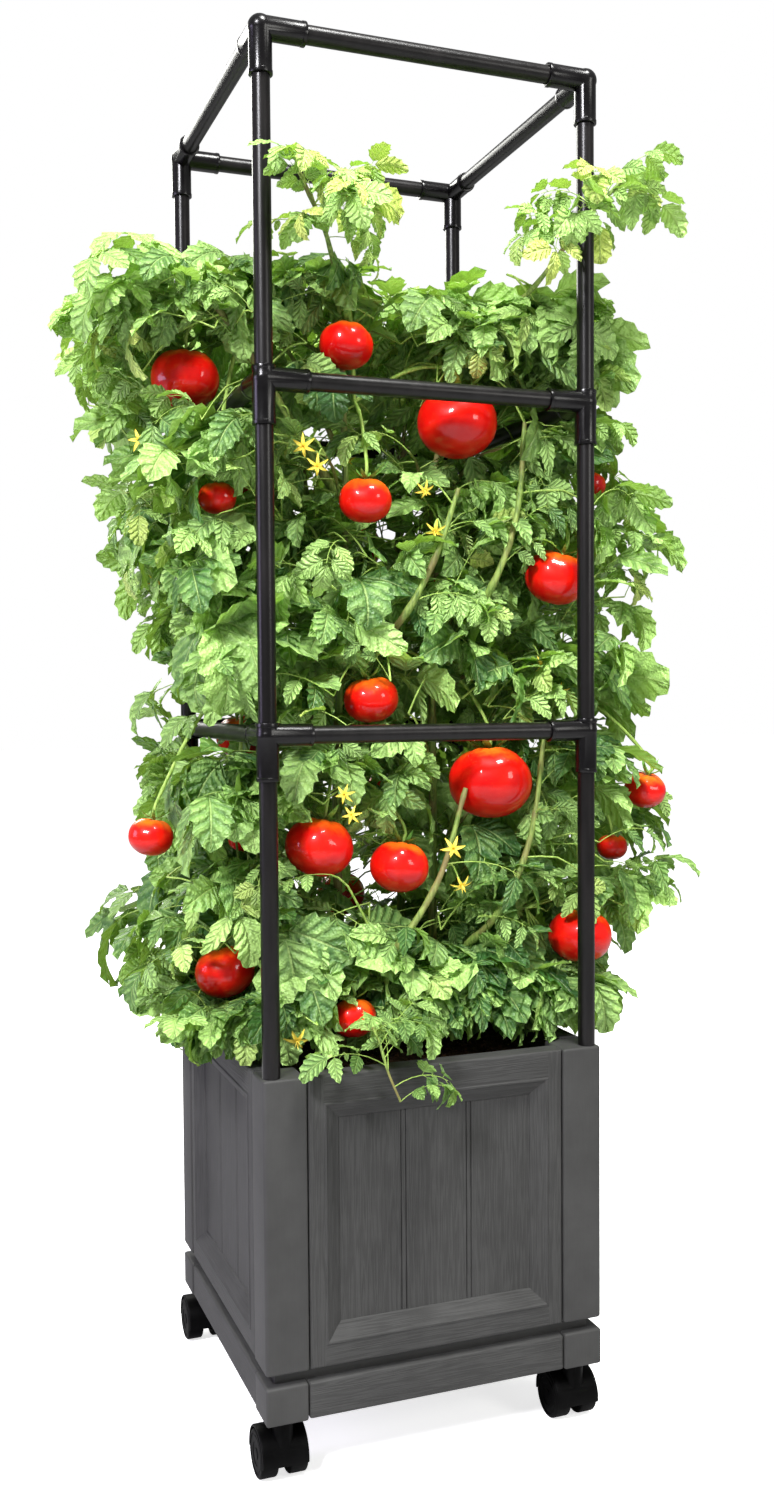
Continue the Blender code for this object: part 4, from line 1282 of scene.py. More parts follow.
@dataclass
class Casters:
    """Twin-wheel casters: a hood on its stem, which swivels, and a pair of wheels, which rolls."""

    finish: Material
    wheel_finish: Material
    wheel_radius: float = 0.025
    trail: float = 0.015
    wheel_outer: float = 0.0262
    wheel_inner: float = 0.0065
    axle_radius: float = 0.003
    hood_radius: float = 0.0291
    hood_bore: float = 0.0267
    hood_half: float = 0.0254
    web_half: float = 0.0055
    skirt_drop: float = 0.004
    neck_radius: float = 0.0109
    neck_top: float = 0.0678
    stem_radius: float = 0.0053
    stem_top: float = 0.0955

    def build(self) -> None:
        """Builds one caster's hood and wheels, and copies them to each corner."""
        hood = self.hood_model()
        wheels = self.wheels_model()
        for corner in Corner:
            low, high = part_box(f"caster_wheels_{corner.label}")
            axle = (low + high) / 2
            place = Matrix.Translation((axle.x, axle.y, self.wheel_radius))
            wheel_pair = soften(copy_of(wheels, f"wheel_pair_{corner.label}", place), 30)
            dress(wheel_pair, self.wheel_finish, f"wheels_{corner.label}",
                  [f"caster_wheels_{corner.label}"])
            shell = soften(copy_of(hood, f"hood_{corner.label}", place), 35)
            dress(shell, self.finish, f"caster_{corner.label}", [f"caster_hood_{corner.label}"])
        bpy.data.objects.remove(hood)
        bpy.data.objects.remove(wheels)

    def hood_model(self) -> Piece:
        """The hood about its axle: a drum with two wheel bays, open below, with its neck and stem."""
        hood = new_rod("hood_model", self.hood_radius, -self.hood_half, self.hood_half, 64, "X")
        round_edges(hood, 0.0016, 3, 60)
        neck = new_rod("neck", self.neck_radius, 0.012, self.neck_top - self.wheel_radius, 40)
        stem = new_rod("stem", self.stem_radius, 0.03, self.stem_top - self.wheel_radius, 32)
        with editing(neck):
            pick_faces(neck, lambda middle, normal: normal.z > 0.9)
            inset_steps(((0.0012, 0.0), (0.0004, 0.0)))
        for piece in (neck, stem):
            round_edges(piece, 0.0006, 2, 60)
            piece.location.y = -self.trail
            settle(piece)
        combine(hood, [neck, stem], "UNION")
        far = self.hood_half + 0.02
        cuts = [
            new_block("below", (-0.05, -0.06, -0.06), (0.05, 0.06, -self.skirt_drop)),
            new_rod("axle", self.axle_radius + 0.0004, -0.02, 0.02, 32, "X"),
            new_rod("bay", self.hood_bore, self.web_half, far, 64, "X"),
            new_rod("bay", self.hood_bore, -far, -self.web_half, 64, "X"),
        ]
        return combine(hood, cuts, "DIFFERENCE")

    def wheel_model(self, sign: int) -> Piece:
        """One wheel: a rounded tread, a dished disc with a raised ring, and a hub cap."""
        ends = sorted((sign * self.wheel_inner, sign * (self.wheel_outer - 0.0004)))
        wheel = new_rod("wheel", self.wheel_radius, *ends, 64, "X")
        round_edges(wheel, 0.0024, 4, 60)
        with editing(wheel):
            pick_faces(wheel, lambda middle, normal: normal.x * sign > 0.98 and abs(middle.z) < 1e-4)
            inset_steps(((0.0016, 0.0), (0.0006, -0.0009), (0.0016, 0.0), (0.0006, 0.0006),
                         (0.0058, 0.0), (0.0008, -0.0007), (0.0052, 0.0), (0.0006, 0.0008),
                         (0.0022, 0.0002)))
            pick_faces(wheel, lambda middle, normal: normal.x * sign < -0.98 and abs(middle.z) < 1e-4)
            inset_steps(((0.004, 0.0), (0.0008, -0.003), (0.01, 0.0), (0.0006, 0.002)))
        return wheel

    def wheels_model(self) -> Piece:
        """Two wheels on their axle."""
        axle = new_rod("axle", self.axle_radius, -self.wheel_inner - 0.003, self.wheel_inner + 0.003, 32, "X")
        round_edges(axle, 0.0004, 2, 60)
        return join("wheels_model", [self.wheel_model(1), self.wheel_model(-1), axle])


# ---------------------------------------------------------------- plant

SOIL_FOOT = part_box("soil")[1].z - 0.036


@dataclass(frozen=True)
class Vine:
    """A stem, and the side shoots that leave it at given heights."""

    stem: tuple[Point, ...]
    shoots: tuple[tuple[float, tuple[Point, ...]], ...]


VINES = {
    Corner.FRONT_LEFT: Vine(
        ((-0.055, -0.045, SOIL_FOOT), (-0.062, -0.04, 0.7), (-0.05, -0.045, 1.0), (-0.065, -0.08, 1.2),
         (-0.105, -0.165, 1.285), (-0.15, -0.205, 1.345)),
        ((0.5, ((-0.11, -0.05, 0.575), (-0.15, -0.05, 0.59))),
         (0.74, ((-0.11, -0.035, 0.835), (-0.16, -0.03, 0.86))),
         (1.08, ((-0.11, -0.045, 1.2), (-0.16, -0.05, 1.24)))),
    ),
    Corner.FRONT_RIGHT: Vine(
        ((0.055, -0.04, SOIL_FOOT), (0.06, -0.035, 0.75), (0.062, -0.03, 1.05), (0.095, -0.07, 1.215),
         (0.138, -0.15, 1.275), (0.172, -0.204, 1.335), (0.215, -0.212, 1.38)),
        ((0.6, ((0.115, -0.036, 0.755), (0.16, -0.04, 0.83), (0.198, -0.042, 0.838))),
         (0.9, ((0.13, -0.045, 1.03), (0.175, -0.055, 1.085)))),
    ),
    Corner.BACK_RIGHT: Vine(
        ((0.05, 0.055, SOIL_FOOT), (0.06, 0.065, 0.75), (0.055, 0.06, 1.05), (0.08, 0.07, 1.235)),
        ((0.56, ((0.11, 0.09, 0.64), (0.155, 0.115, 0.69))),
         (0.88, ((0.12, 0.08, 0.99), (0.17, 0.09, 1.06)))),
    ),
    Corner.BACK_LEFT: Vine(
        ((-0.055, 0.055, SOIL_FOOT), (-0.062, 0.062, 0.7), (-0.055, 0.065, 1.0), (-0.085, 0.07, 1.225)),
        ((0.52, ((-0.11, 0.085, 0.62), (-0.155, 0.105, 0.66))),
         (0.9, ((-0.12, 0.085, 1.0), (-0.165, 0.095, 1.065)))),
    ),
}


@dataclass(frozen=True)
class Fruit:
    """A tomato: its middle, its radius and how green its shoulders still are."""

    middle: Point
    radius: float
    green: float = 0.3


@dataclass(frozen=True)
class Truss:
    """A stalk that starts on a vine and the tomatoes that hang from it."""

    start: Point
    fruits: tuple[Fruit, ...]


TRUSSES = {
    "left_upper": Truss((-0.167, -0.051, 1.2435), (
        Fruit((-0.238, -0.07, 1.163), 0.038),
        Fruit((-0.212, -0.1, 1.034), 0.021, 0.6),
    )),
    "front_upper": Truss((-0.05, -0.08, 1.15), (
        Fruit((-0.073, -0.12, 1.2), 0.03, 0.7),
        Fruit((0.06, -0.112, 1.126), 0.046, 0.2),
        Fruit((-0.056, -0.13, 1.034), 0.03, 0.5),
    )),
    "right_upper": Truss((0.183, -0.057, 1.094), (
        Fruit((0.174, -0.13, 0.956), 0.037, 0.3),
        Fruit((0.24, -0.09, 1.069), 0.019, 0.6),
    )),
    "left_middle": Truss((-0.168, -0.029, 0.863), (
        Fruit((-0.14, 0.095, 0.775), 0.03),
        Fruit((-0.28, -0.06, 0.673), 0.025, 0.6),
        Fruit((-0.16, 0.007, 0.66), 0.018, 0.8),
    )),
    "front_middle": Truss((0.058, -0.046, 0.86), (
        Fruit((-0.044, -0.11, 0.819), 0.031, 0.6),
        Fruit((0.098, -0.115, 0.724), 0.049, 0.1),
    )),
    "front_lower": Truss((-0.062, -0.051, 0.735), (
        Fruit((-0.108, -0.118, 0.66), 0.039, 0.3),
        Fruit((-0.019, -0.128, 0.635), 0.034, 0.5),
    )),
    "right_lower": Truss((0.206, -0.043, 0.839), (
        Fruit((0.308, -0.1, 0.708), 0.026, 0.4),
        Fruit((0.269, -0.09, 0.64), 0.019, 0.7),
        Fruit((0.209, -0.12, 0.542), 0.038, 0.2),
    )),
    "left_lower": Truss((-0.158, -0.05, 0.593), (
        Fruit((-0.205, -0.08, 0.524), 0.034, 0.4),
        Fruit((-0.074, -0.128, 0.472), 0.026, 0.8),
    )),
    "back_upper": Truss((-0.056, 0.076, 1.11), (
        Fruit((-0.11, 0.13, 1.06), 0.037, 0.3),
        Fruit((0.02, 0.14, 1.01), 0.041, 0.2),
        Fruit((0.12, 0.145, 0.96), 0.03, 0.7),
    )),
    "back_lower": Truss((0.058, 0.076, 0.8), (
        Fruit((-0.09, 0.14, 0.72), 0.04, 0.3),
        Fruit((0.06, 0.14, 0.69), 0.036, 0.5),
        Fruit((0.0, 0.13, 0.57), 0.032, 0.6),
    )),
}

FLOWERS: tuple[Point, ...] = (
    (-0.133, -0.155, 1.084), (-0.119, -0.158, 1.064), (0.005, -0.15, 1.045), (0.017, -0.15, 1.002),
    (0.128, -0.12, 1.25), (0.153, -0.12, 1.241), (-0.092, -0.158, 0.719), (-0.085, -0.16, 0.697),
    (0.036, -0.15, 0.655), (0.046, -0.15, 0.614), (0.161, -0.12, 0.857), (0.184, -0.12, 0.828),
    (-0.145, -0.15, 0.459), (-0.284, -0.05, 1.099), (0.01, 0.18, 1.15), (0.03, 0.176, 1.13),
    (-0.04, 0.18, 0.85), (0.11, 0.17, 0.84), (0.25, 0.08, 0.93), (-0.24, 0.09, 0.96),
)


@dataclass(frozen=True)
class Crown:
    """How far the leaves reach on each side, by height."""

    heights: tuple = (0.43, 0.5, 0.55, 0.62, 0.7, 0.78, 0.86, 0.94, 1.02, 1.1, 1.18, 1.24, 1.29)
    left: tuple = (0.25, 0.335, 0.32, 0.27, 0.27, 0.28, 0.26, 0.27, 0.31, 0.34, 0.36, 0.372, 0.34)
    right: tuple = (0.25, 0.32, 0.36, 0.375, 0.37, 0.32, 0.31, 0.36, 0.355, 0.29, 0.28, 0.29, 0.24)
    back: tuple = (0.18, 0.23, 0.25, 0.27, 0.27, 0.26, 0.27, 0.28, 0.28, 0.27, 0.27, 0.25, 0.21)
    front_inside: float = 0.17
    front_outside: float = 0.205
    frame_half: float = 0.2
    lowest: float = 0.425

    def side(self, values: tuple, height: "float | np.ndarray") -> "float | np.ndarray":
        """The reach on one side at a height."""
        return np.interp(height, self.heights, values)

    def reach(self, height: float, angle: float) -> float:
        """The reach from the middle at a height, in a direction given by its angle from +X."""
        wide = self.side(self.right if math.cos(angle) > 0 else self.left, height)
        deep = self.side(self.back, height) if math.sin(angle) > 0 else self.front_inside
        return 1 / math.hypot(math.cos(angle) / wide, math.sin(angle) / deep)

    def drawn_in(self, points: np.ndarray) -> np.ndarray:
        """How far to move a leaf sideways so that it ends inside the crown."""
        x, y, z = points.T
        right, left = (x - self.side(self.right, z)).max(), (-x - self.side(self.left, z)).max()
        front, back = (-y - self.front_inside).max(), (y - self.side(self.back, z)).max()
        return np.array([max(left, 0) - max(right, 0), max(front, 0) - max(back, 0), 0.0])

    def holds(self, points: np.ndarray) -> bool:
        """True if all of these points are inside the crown and clear of the front posts."""
        x, y, z = points.T
        front = np.where(np.abs(x) < self.frame_half, self.front_inside, self.front_outside)
        inside = (
            (x > -self.side(self.left, z)) & (x < self.side(self.right, z)) & (y > -front)
            & (y < self.side(self.back, z)) & (z > self.lowest) & (z < self.heights[-1] + 0.01)
        )
        return bool(inside.all())


class Surroundings:
    """What leaves grow round: the trellis, the planter and the tomatoes."""

    def __init__(self, sight: Vector) -> None:
        """Gathers the frame's solids that a leaf may not cross.

        Args:
            sight: The way to the side from which the front tomatoes are picked.
        """
        points, faces = [], []
        for name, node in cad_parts.items():
            if name.startswith(("vine", "caster", "base")):
                continue
            start = len(points)
            points.extend(point.co.copy() for point in node.data.vertices)
            faces.extend(tuple(start + v for v in face.vertices) for face in node.data.polygons)
        self.tree = BVHTree.FromPolygons(points, faces)
        self.fruits = [fruit for truss in TRUSSES.values() for fruit in truss.fruits]
        self.ways = [sight if fruit.middle[1] < 0.05 else Vector((0, 1, 0)) for fruit in self.fruits]

    def near(self, path: np.ndarray, gap: float) -> bool:
        """True if a path passes within a gap of a solid, away from its start."""
        return any(self.tree.find_nearest(Vector(point), gap)[0] is not None for point in path[4:])

    def hides_fruit(self, points: np.ndarray, share: float) -> bool:
        """True if a leaf with these points hangs in front of a tomato."""
        for fruit, way in zip(self.fruits, self.ways):
            away = points - fruit.middle
            ahead = away @ np.array(way)
            aside = np.linalg.norm(away - np.outer(ahead, way), axis=1)
            hidden = (ahead > 0) & (ahead < 0.3) & (aside < fruit.radius * share)
            if hidden.any():
                return True
        return False

    def crosses(self, path: np.ndarray) -> bool:
        """True if a thin stalk along a path goes through a solid."""
        for first, last in zip(path, path[1:]):
            step = Vector(last - first)
            if self.tree.ray_cast(Vector(first), step.normalized(), step.length)[0] is not None:
                return True
        return False

    def touches(self, points: np.ndarray, faces: list) -> bool:
        """True if a leaf crosses a solid."""
        return bool(BVHTree.FromPolygons(points.tolist(), faces).overlap(self.tree))


@dataclass(frozen=True)
class LeafPattern:
    """A compound leaf laid flat: its foot at the origin, its tip at 1 along Y, its upper face up."""

    points: np.ndarray
    faces: list
    uv: np.ndarray
    tint: np.ndarray
    stalk_faces: int

    def placed(self, foot: np.ndarray, angle: float, rise: float, bend: float, length: float,
               roll: float) -> np.ndarray:
        """The leaf's points when it grows from a foot and droops.

        Args:
            foot: Where it leaves its shoot.
            angle: Which way it heads, seen from above.
            rise: Its slope at the foot.
            bend: How far it turns down by its tip.
            length: From foot to tip.
            roll: Its turn about its own length.

        Returns:
            The points.
        """
        x, y, z = self.points.T * length
        share = np.clip(y / length, 0, 1.2)
        steps = np.linspace(0, 1.2, 49)
        slopes = rise - bend * steps**1.25
        out = np.concatenate([[0], np.cumsum(np.cos((slopes[1:] + slopes[:-1]) / 2))]) * 0.025 * length
        up = np.concatenate([[0], np.cumsum(np.sin((slopes[1:] + slopes[:-1]) / 2))]) * 0.025 * length
        slope = rise - bend * share**1.25
        across = x * math.cos(roll) - z * math.sin(roll)
        lift = x * math.sin(roll) + z * math.cos(roll)
        ahead = np.interp(share, steps, out) - np.sin(slope) * lift
        high = np.interp(share, steps, up) + np.cos(slope) * lift
        heading = level_way(angle)
        side = np.array([math.sin(angle), -math.cos(angle), 0.0])
        return foot + np.outer(ahead, heading) + np.outer(across, side) + np.outer(high, [0, 0, 1])


@dataclass(frozen=True)
class LeafLayout:
    """Where leaflets sit on a leaf of length 1: each pair's place and size, and the end one's."""

    pairs: tuple
    small_pairs: tuple
    tip: tuple


@dataclass
class LeafModeller:
    """Models one toothed leaflet and lays compound leaves out of it."""

    columns: int = 4
    rows: int = 10
    half_width: float = 0.27
    fold: float = 0.42
    droop: float = 0.34
    pucker: float = 0.026
    layouts: tuple = (
        LeafLayout(((0.25, 0.23), (0.45, 0.29), (0.65, 0.27)), ((0.35, 0.1),), (0.68, 0.33)),
        LeafLayout(((0.32, 0.28), (0.59, 0.31)), ((0.45, 0.1),), (0.65, 0.36)),
        LeafLayout(((0.44, 0.36),), (), (0.5, 0.52)),
    )
    order: tuple = (0, 1, 1, 0, 1, 2, 1, 0, 1, 1)
    stalk_radius: float = 0.0075

    def leaflet(self) -> tuple[np.ndarray, list, np.ndarray]:
        """A leaflet of length 1: its points, its faces and its UV."""
        across, along, faces = strip(self.columns, self.rows)
        body = np.maximum(along, 0.0) ** 0.55 * np.maximum(1 - along, 0.0) ** 0.72 / 0.42
        half = self.half_width * body + 0.01 * (1 - along)
        row = np.round(along * self.rows)
        edge = np.abs(across) > 0.9
        inner_rows = (row > 0) & (row < self.rows)
        tooth = np.where(row % 2 == 1, 0.13, -0.1) * (1.15 - along * 0.5)
        half = half * np.where(edge & inner_rows, 1 + tooth, 1.0)
        x = across * half
        y = along + np.where(edge & inner_rows & (row % 2 == 1), 0.045, 0.0)
        wave = np.sin(along * self.rows * math.pi * 0.64 + np.abs(across) * 2.0)
        z = self.fold * np.abs(x) - 0.9 * x * x - self.droop * along**2 + self.pucker * wave * np.abs(across)
        points = np.column_stack([x, y, z])
        return points, faces, np.column_stack([across / 2 + 0.5, along])

    def tube(self, path: np.ndarray, start_radius: float, end_radius: float) -> tuple[np.ndarray, list]:
        """A three-sided stalk along a path: its points and faces."""
        rings = []
        count = len(path)
        for number, middle in enumerate(path):
            ahead = path[min(number + 1, count - 1)] - path[max(number - 1, 0)]
            ahead = ahead / np.linalg.norm(ahead)
            side = np.cross(ahead, [0, 0, 1.0])
            side = side / np.linalg.norm(side)
            over = np.cross(side, ahead)
            radius = start_radius + (end_radius - start_radius) * number / (count - 1)
            for turn in (0.5, 2.6, 4.7):
                rings.append(middle + radius * (math.cos(turn) * side + math.sin(turn) * over))
        faces = [
            (3 * k + s, 3 * k + (s + 1) % 3, 3 * k + 3 + (s + 1) % 3, 3 * k + 3 + s)
            for k in range(count - 1) for s in range(3)
        ]
        return np.array(rings), faces

    def pattern(self, number: int) -> LeafPattern:
        """Lays out one compound leaf, with its own small irregularities.

        Args:
            number: Which of the leaves.

        Returns:
            The leaf.
        """
        rng = np.random.default_rng(SEED + number)
        layout = self.layouts[self.order[number]]
        blade, blade_faces, blade_uv = self.leaflet()
        broad = rng.uniform(0.85, 1.22)
        placed = []
        for group, is_small in ((layout.pairs, False), (layout.small_pairs, True)):
            for along, size in group:
                for side in (-1, 1):
                    away = math.radians(rng.uniform(46, 72))
                    placed.append((along + rng.uniform(-0.02, 0.02), side, away,
                                   size * rng.uniform(0.88, 1.12), 0.02 if is_small else 0.05))
        placed.append((layout.tip[0], 0, 0.0, layout.tip[1], 0.02))
        spine = np.array([(0.03 * math.sin(3 * s), s, 0.0) for s in np.linspace(0, layout.tip[0], 7)])
        leaf = Shapes()
        leaf.add(*self.tube(spine, self.stalk_radius, self.stalk_radius * 0.45))
        blades = []
        for along, side, away, size, neck in placed:
            foot = np.array([0.03 * math.sin(3 * along), along, 0.0])
            heading = np.array([side * math.sin(away), math.cos(away), 0.0])
            if side:
                path = np.array([foot, foot + heading * neck * 0.6, foot + heading * (neck + 0.02)])
                leaf.add(*self.tube(path, self.stalk_radius * 0.5, self.stalk_radius * 0.3))
            turn = Matrix.Rotation(-side * away, 3, "Z")
            twist = Matrix.Rotation(math.radians(rng.uniform(-30, 30)), 3, "Y")
            down = rng.uniform(-38, 10) if side else rng.uniform(-20, 8)
            hang = Matrix.Rotation(math.radians(down), 3, "X")
            matrix = np.array(turn @ hang @ twist)
            curl = rng.uniform(0.75, 1.3)
            shaped = blade * (broad * rng.uniform(0.88, 1.12), 1.0, curl)
            blades.append((shaped * size @ matrix.T + foot + heading * neck, rng.uniform(-0.17, 0.17)))
        stalk_faces = len(leaf.faces)
        for shaped, shade in blades:
            leaf.add(shaped, blade_faces, blade_uv, 0.5 + shade)
        uv, tint = np.vstack(leaf.uv), np.concatenate(leaf.tint)
        return LeafPattern(np.vstack(leaf.points), leaf.faces, uv, tint, stalk_faces)


@dataclass
class Twig:
    """A length of stem or shoot that carries leaves."""

    vine: Corner
    path: np.ndarray
    radius: tuple[float, float]
    leaves: int
    length: tuple[float, float]
    tint: float = 0.4
    first: float = 0.25
    free: bool = False


# Stout shoots that lean out at the front of the crown, and the spray that hangs over the rim.
LEANING_SHOOTS: tuple[tuple[Corner, tuple[Point, ...]], ...] = (
    (Corner.FRONT_RIGHT, (
        (0.056, -0.04, 0.5), (0.095, -0.128, 0.57),
        (0.135, -0.14, 0.66), (0.16, -0.128, 0.78),
    )),
    (Corner.FRONT_RIGHT, (
        (0.06, -0.035, 0.86), (0.085, -0.13, 0.93),
        (0.118, -0.142, 1.02), (0.14, -0.12, 1.13),
    )),
    (Corner.FRONT_LEFT, (
        (-0.058, -0.043, 0.48), (-0.03, -0.13, 0.54),
        (0.02, -0.146, 0.62), (0.056, -0.14, 0.72),
    )),
    (Corner.FRONT_LEFT, (
        (-0.055, -0.042, 0.84), (-0.02, -0.13, 0.9),
        (0.018, -0.144, 0.97), (0.05, -0.138, 1.05),
    )),
    (Corner.FRONT_LEFT, (
        (-0.06, -0.045, 1.05), (-0.15, -0.1, 1.15),
        (-0.23, -0.11, 1.25), (-0.29, -0.1, 1.27),
    )),
)
RIM_SPRAY: tuple[Point, ...] = (
    (-0.052, -0.043, 0.44), (-0.066, -0.13, 0.48), (-0.073, -0.202, 0.466), (-0.07, -0.224, 0.436),
    (-0.058, -0.228, 0.405),
)
# Big pale leaves that hang at the left of the crown: where the middle of each is.
HANGING_LEAVES: tuple[Point, ...] = (
    (-0.262, -0.12, 1.025), (-0.248, -0.13, 0.61), (-0.07, -0.15, 0.47),
)


@dataclass
class Plant:
    """Four tomato vines: stems, shoots and leaves."""

    stem_finish: Material
    stalk_finish: Material
    leaf_finish: Material
    surroundings: Surroundings
    crown: Crown = field(default_factory=Crown)
    modeller: LeafModeller = field(default_factory=LeafModeller)
    stem_radius: tuple = (0.0061, 0.0022)
    shoot_radius: tuple = (0.0034, 0.0018)
    leaning_radius: tuple = (0.0048, 0.0026)
    side_radius: tuple = (0.0026, 0.0012)
    tip_radius: tuple = (0.003, 0.0018)
    spray_radius: tuple = (0.0022, 0.0012)
    leaf_stalk_radius: tuple = (0.0016, 0.0011)
    joint_gap: float = 0.055
    upper_height: float = 0.84
    tiers: int = 11
    around: int = 8
    tries: int = 14
    outer_leaves: int = 980
    longest_stalk: float = 0.15
    golden_turn: float = math.radians(137.5)
    twigs: list[Twig] = field(default_factory=list)

    def build(self) -> None:
        """Builds the stems and shoots, then grows the leaves."""
        self.lay_stems()
        self.lay_side_shoots()
        self.build_stems()
        self.grow_leaves()

    def lay_stems(self) -> None:
        """The stems, the shoots that the frame's vines have, and the leaning ones."""
        for corner, vine in VINES.items():
            stem = smooth_path(vine.stem, 0.012)
            self.twigs.append(Twig(corner, stem, self.stem_radius, 12, (0.13, 0.2), 0.3, 0.08))
            if stem[-1][2] > 1.3:
                tip = stem[stem[:, 2] > 1.275]
                self.twigs.append(Twig(corner, tip, self.tip_radius, 18, (0.08, 0.12), 0.78, 0.3, True))
            for height, points in vine.shoots:
                foot = stem[int(np.argmin(np.abs(stem[:, 2] - height)))]
                path = smooth_path((tuple(foot), *points), 0.01)
                self.twigs.append(Twig(corner, path, self.shoot_radius, 5, (0.12, 0.18), 0.42, 0.3))
        for corner, points in LEANING_SHOOTS:
            path = smooth_path(points, 0.01)
            self.twigs.append(Twig(corner, path, self.leaning_radius, 5, (0.12, 0.18), 0.45, 0.45))
        spray = smooth_path(RIM_SPRAY, 0.008)
        length = (0.08, 0.11)
        self.twigs.append(Twig(Corner.FRONT_LEFT, spray, self.spray_radius, 10, length, 0.5, 0.6, True))

    def lay_side_shoots(self) -> None:
        """Slimmer shoots that spread through the crown, tier above tier."""
        rng = np.random.default_rng(SEED + 1)
        stems = {twig.vine: twig.path for twig in self.twigs if twig.radius == self.stem_radius}
        low, high = self.crown.heights[0] + 0.06, self.crown.heights[-1] - 0.05
        for tier in range(self.tiers):
            height = low + (high - low) * tier / (self.tiers - 1)
            for number in range(self.around):
                angle = math.tau * (number + 0.5 * (tier % 2)) / self.around + rng.uniform(-0.2, 0.2)
                way = np.array([math.cos(angle), math.sin(angle)])
                reach = self.crown.reach(height, angle) * rng.uniform(0.58, 0.82)
                tip = np.array([*(way * reach), height + rng.uniform(-0.02, 0.02)])
                vine = min(stems, key=lambda c: float(np.linalg.norm(np.array(c.value) * 0.055 - way * 0.07)))
                stem = stems[vine]
                foot = stem[int(np.argmin(np.abs(stem[:, 2] - (height - rng.uniform(0.05, 0.1)))))]
                knee = foot * 0.45 + tip * 0.55 + np.array([0, 0, rng.uniform(0.015, 0.035)])
                path = smooth_path((foot, knee, tip), 0.01)
                if self.surroundings.near(path, 0.006):
                    continue
                age = 0.28 + 0.42 * tier / self.tiers
                self.twigs.append(Twig(vine, path, self.side_radius, 4, (0.11, 0.175), age, 0.35))

    def build_stems(self) -> None:
        """Each vine's stem and shoots as one piece."""
        for corner in Corner:
            parts = []
            for twig in self.twigs:
                if twig.vine == corner and twig.radius != self.tip_radius:
                    parts.append(stalk("stem", twig.path, *twig.radius, sides=2, joint_gap=self.joint_gap))
            piece = join(f"stems_{corner.label}", parts)
            dress(piece, self.stem_finish, stands_for=[f"vine_{corner.label}"])

    def grow_leaves(self) -> None:
        """Grows the leaves of the twigs, then the outer leaves on stalks of their own."""
        patterns = [self.modeller.pattern(number) for number in range(len(self.modeller.order))]
        rng = np.random.default_rng(SEED + 2)
        grown: dict[tuple, list] = {(corner, high): [] for corner in Corner for high in (False, True)}
        turn = 0.0
        for twig in self.twigs:
            count = len(twig.path)
            for number in range(twig.leaves):
                share = twig.first + (1 - twig.first) * (number + 0.5) / twig.leaves
                if number == twig.leaves - 1:
                    share = 1.0
                index = min(count - 1, int(share * (count - 1)))
                turn += self.golden_turn
                leaf = self.twig_leaf(twig, index, turn, patterns, rng)
                if leaf is not None:
                    grown[twig.vine, bool(twig.path[index][2] > self.upper_height)].append(leaf)
        self.grow_outer_leaves(patterns, rng, grown)
        for (corner, high), leaves in grown.items():
            self.build_foliage(f"{'upper' if high else 'lower'}_{corner.label}", leaves)

    def twig_leaf(self, twig: Twig, index: int, turn: float, patterns: list[LeafPattern],
                  rng: np.random.Generator) -> "tuple | None":
        """Finds room for a leaf on a twig, shorter and turned at each try.

        Args:
            twig: What it grows on.
            index: Which of the twig's points it leaves.
            turn: Its turn about the twig.
            patterns: The leaves to choose from.
            rng: Where its chances come from.

        Returns:
            Its pattern, its points, its tint and no stalk, or None if there is no room.
        """
        foot = twig.path[index]
        outward = math.atan2(foot[1], foot[0])
        length = rng.uniform(*twig.length)
        for attempt in range(self.tries):
            pattern = patterns[int(rng.integers(len(patterns)))]
            spread = math.remainder(turn + rng.uniform(-0.4, 0.4) + attempt * 1.9, math.tau)
            angle = outward + spread * (1.0 if twig.free else 0.5)
            rise = rng.uniform(0.1, 1.1)
            bend = rng.uniform(0.6, 2.2)
            points = pattern.placed(foot, angle, rise, bend, length, rng.uniform(-0.7, 0.7))
            if self.has_room(pattern, points, rng.uniform(0.4, 0.9) * (0.2 if twig.free else 1.0), twig.free):
                return pattern, points, twig.tint + rng.uniform(-0.26, 0.3), None
            length *= 0.955
        return None

    def outer_place(self, rng: np.random.Generator) -> tuple[np.ndarray, float]:
        """A place near the outside of the crown, and the way out there."""
        low, high = self.crown.heights[0] + 0.02, self.crown.heights[-1] - 0.02
        height = rng.uniform(low, high)
        depth = 1.0 - 0.4 * rng.beta(1.0, 3.0)
        layer = rng.uniform()
        if layer < 0.09:
            height, depth = rng.uniform(high - 0.09, high), math.sqrt(rng.uniform())
        elif layer < 0.25:
            height, depth = rng.uniform(low - 0.01, low + 0.05), math.sqrt(rng.uniform())
        elif layer < 0.4:
            depth = rng.uniform(0.05, 0.55)
        if layer > 0.92:
            place = rng.uniform((-0.17, -0.15, low - 0.01), (0.175, -0.07, low + 0.05))
            return place, math.atan2(place[1], place[0])
        round_way = rng.uniform(0, math.tau)
        sides = np.array([math.cos(round_way), math.sin(round_way)])
        wide = self.crown.reach(height, 0.0 if sides[0] > 0 else math.pi)
        deep = self.crown.reach(height, math.copysign(math.pi / 2, sides[1]))
        squareness = 1.0 if sides[0] < 0 < sides[1] else 0.6
        x, y = np.sign(sides) * np.abs(sides) ** squareness * (wide, deep) * depth
        return np.array([x, y, height]), math.atan2(y, x)

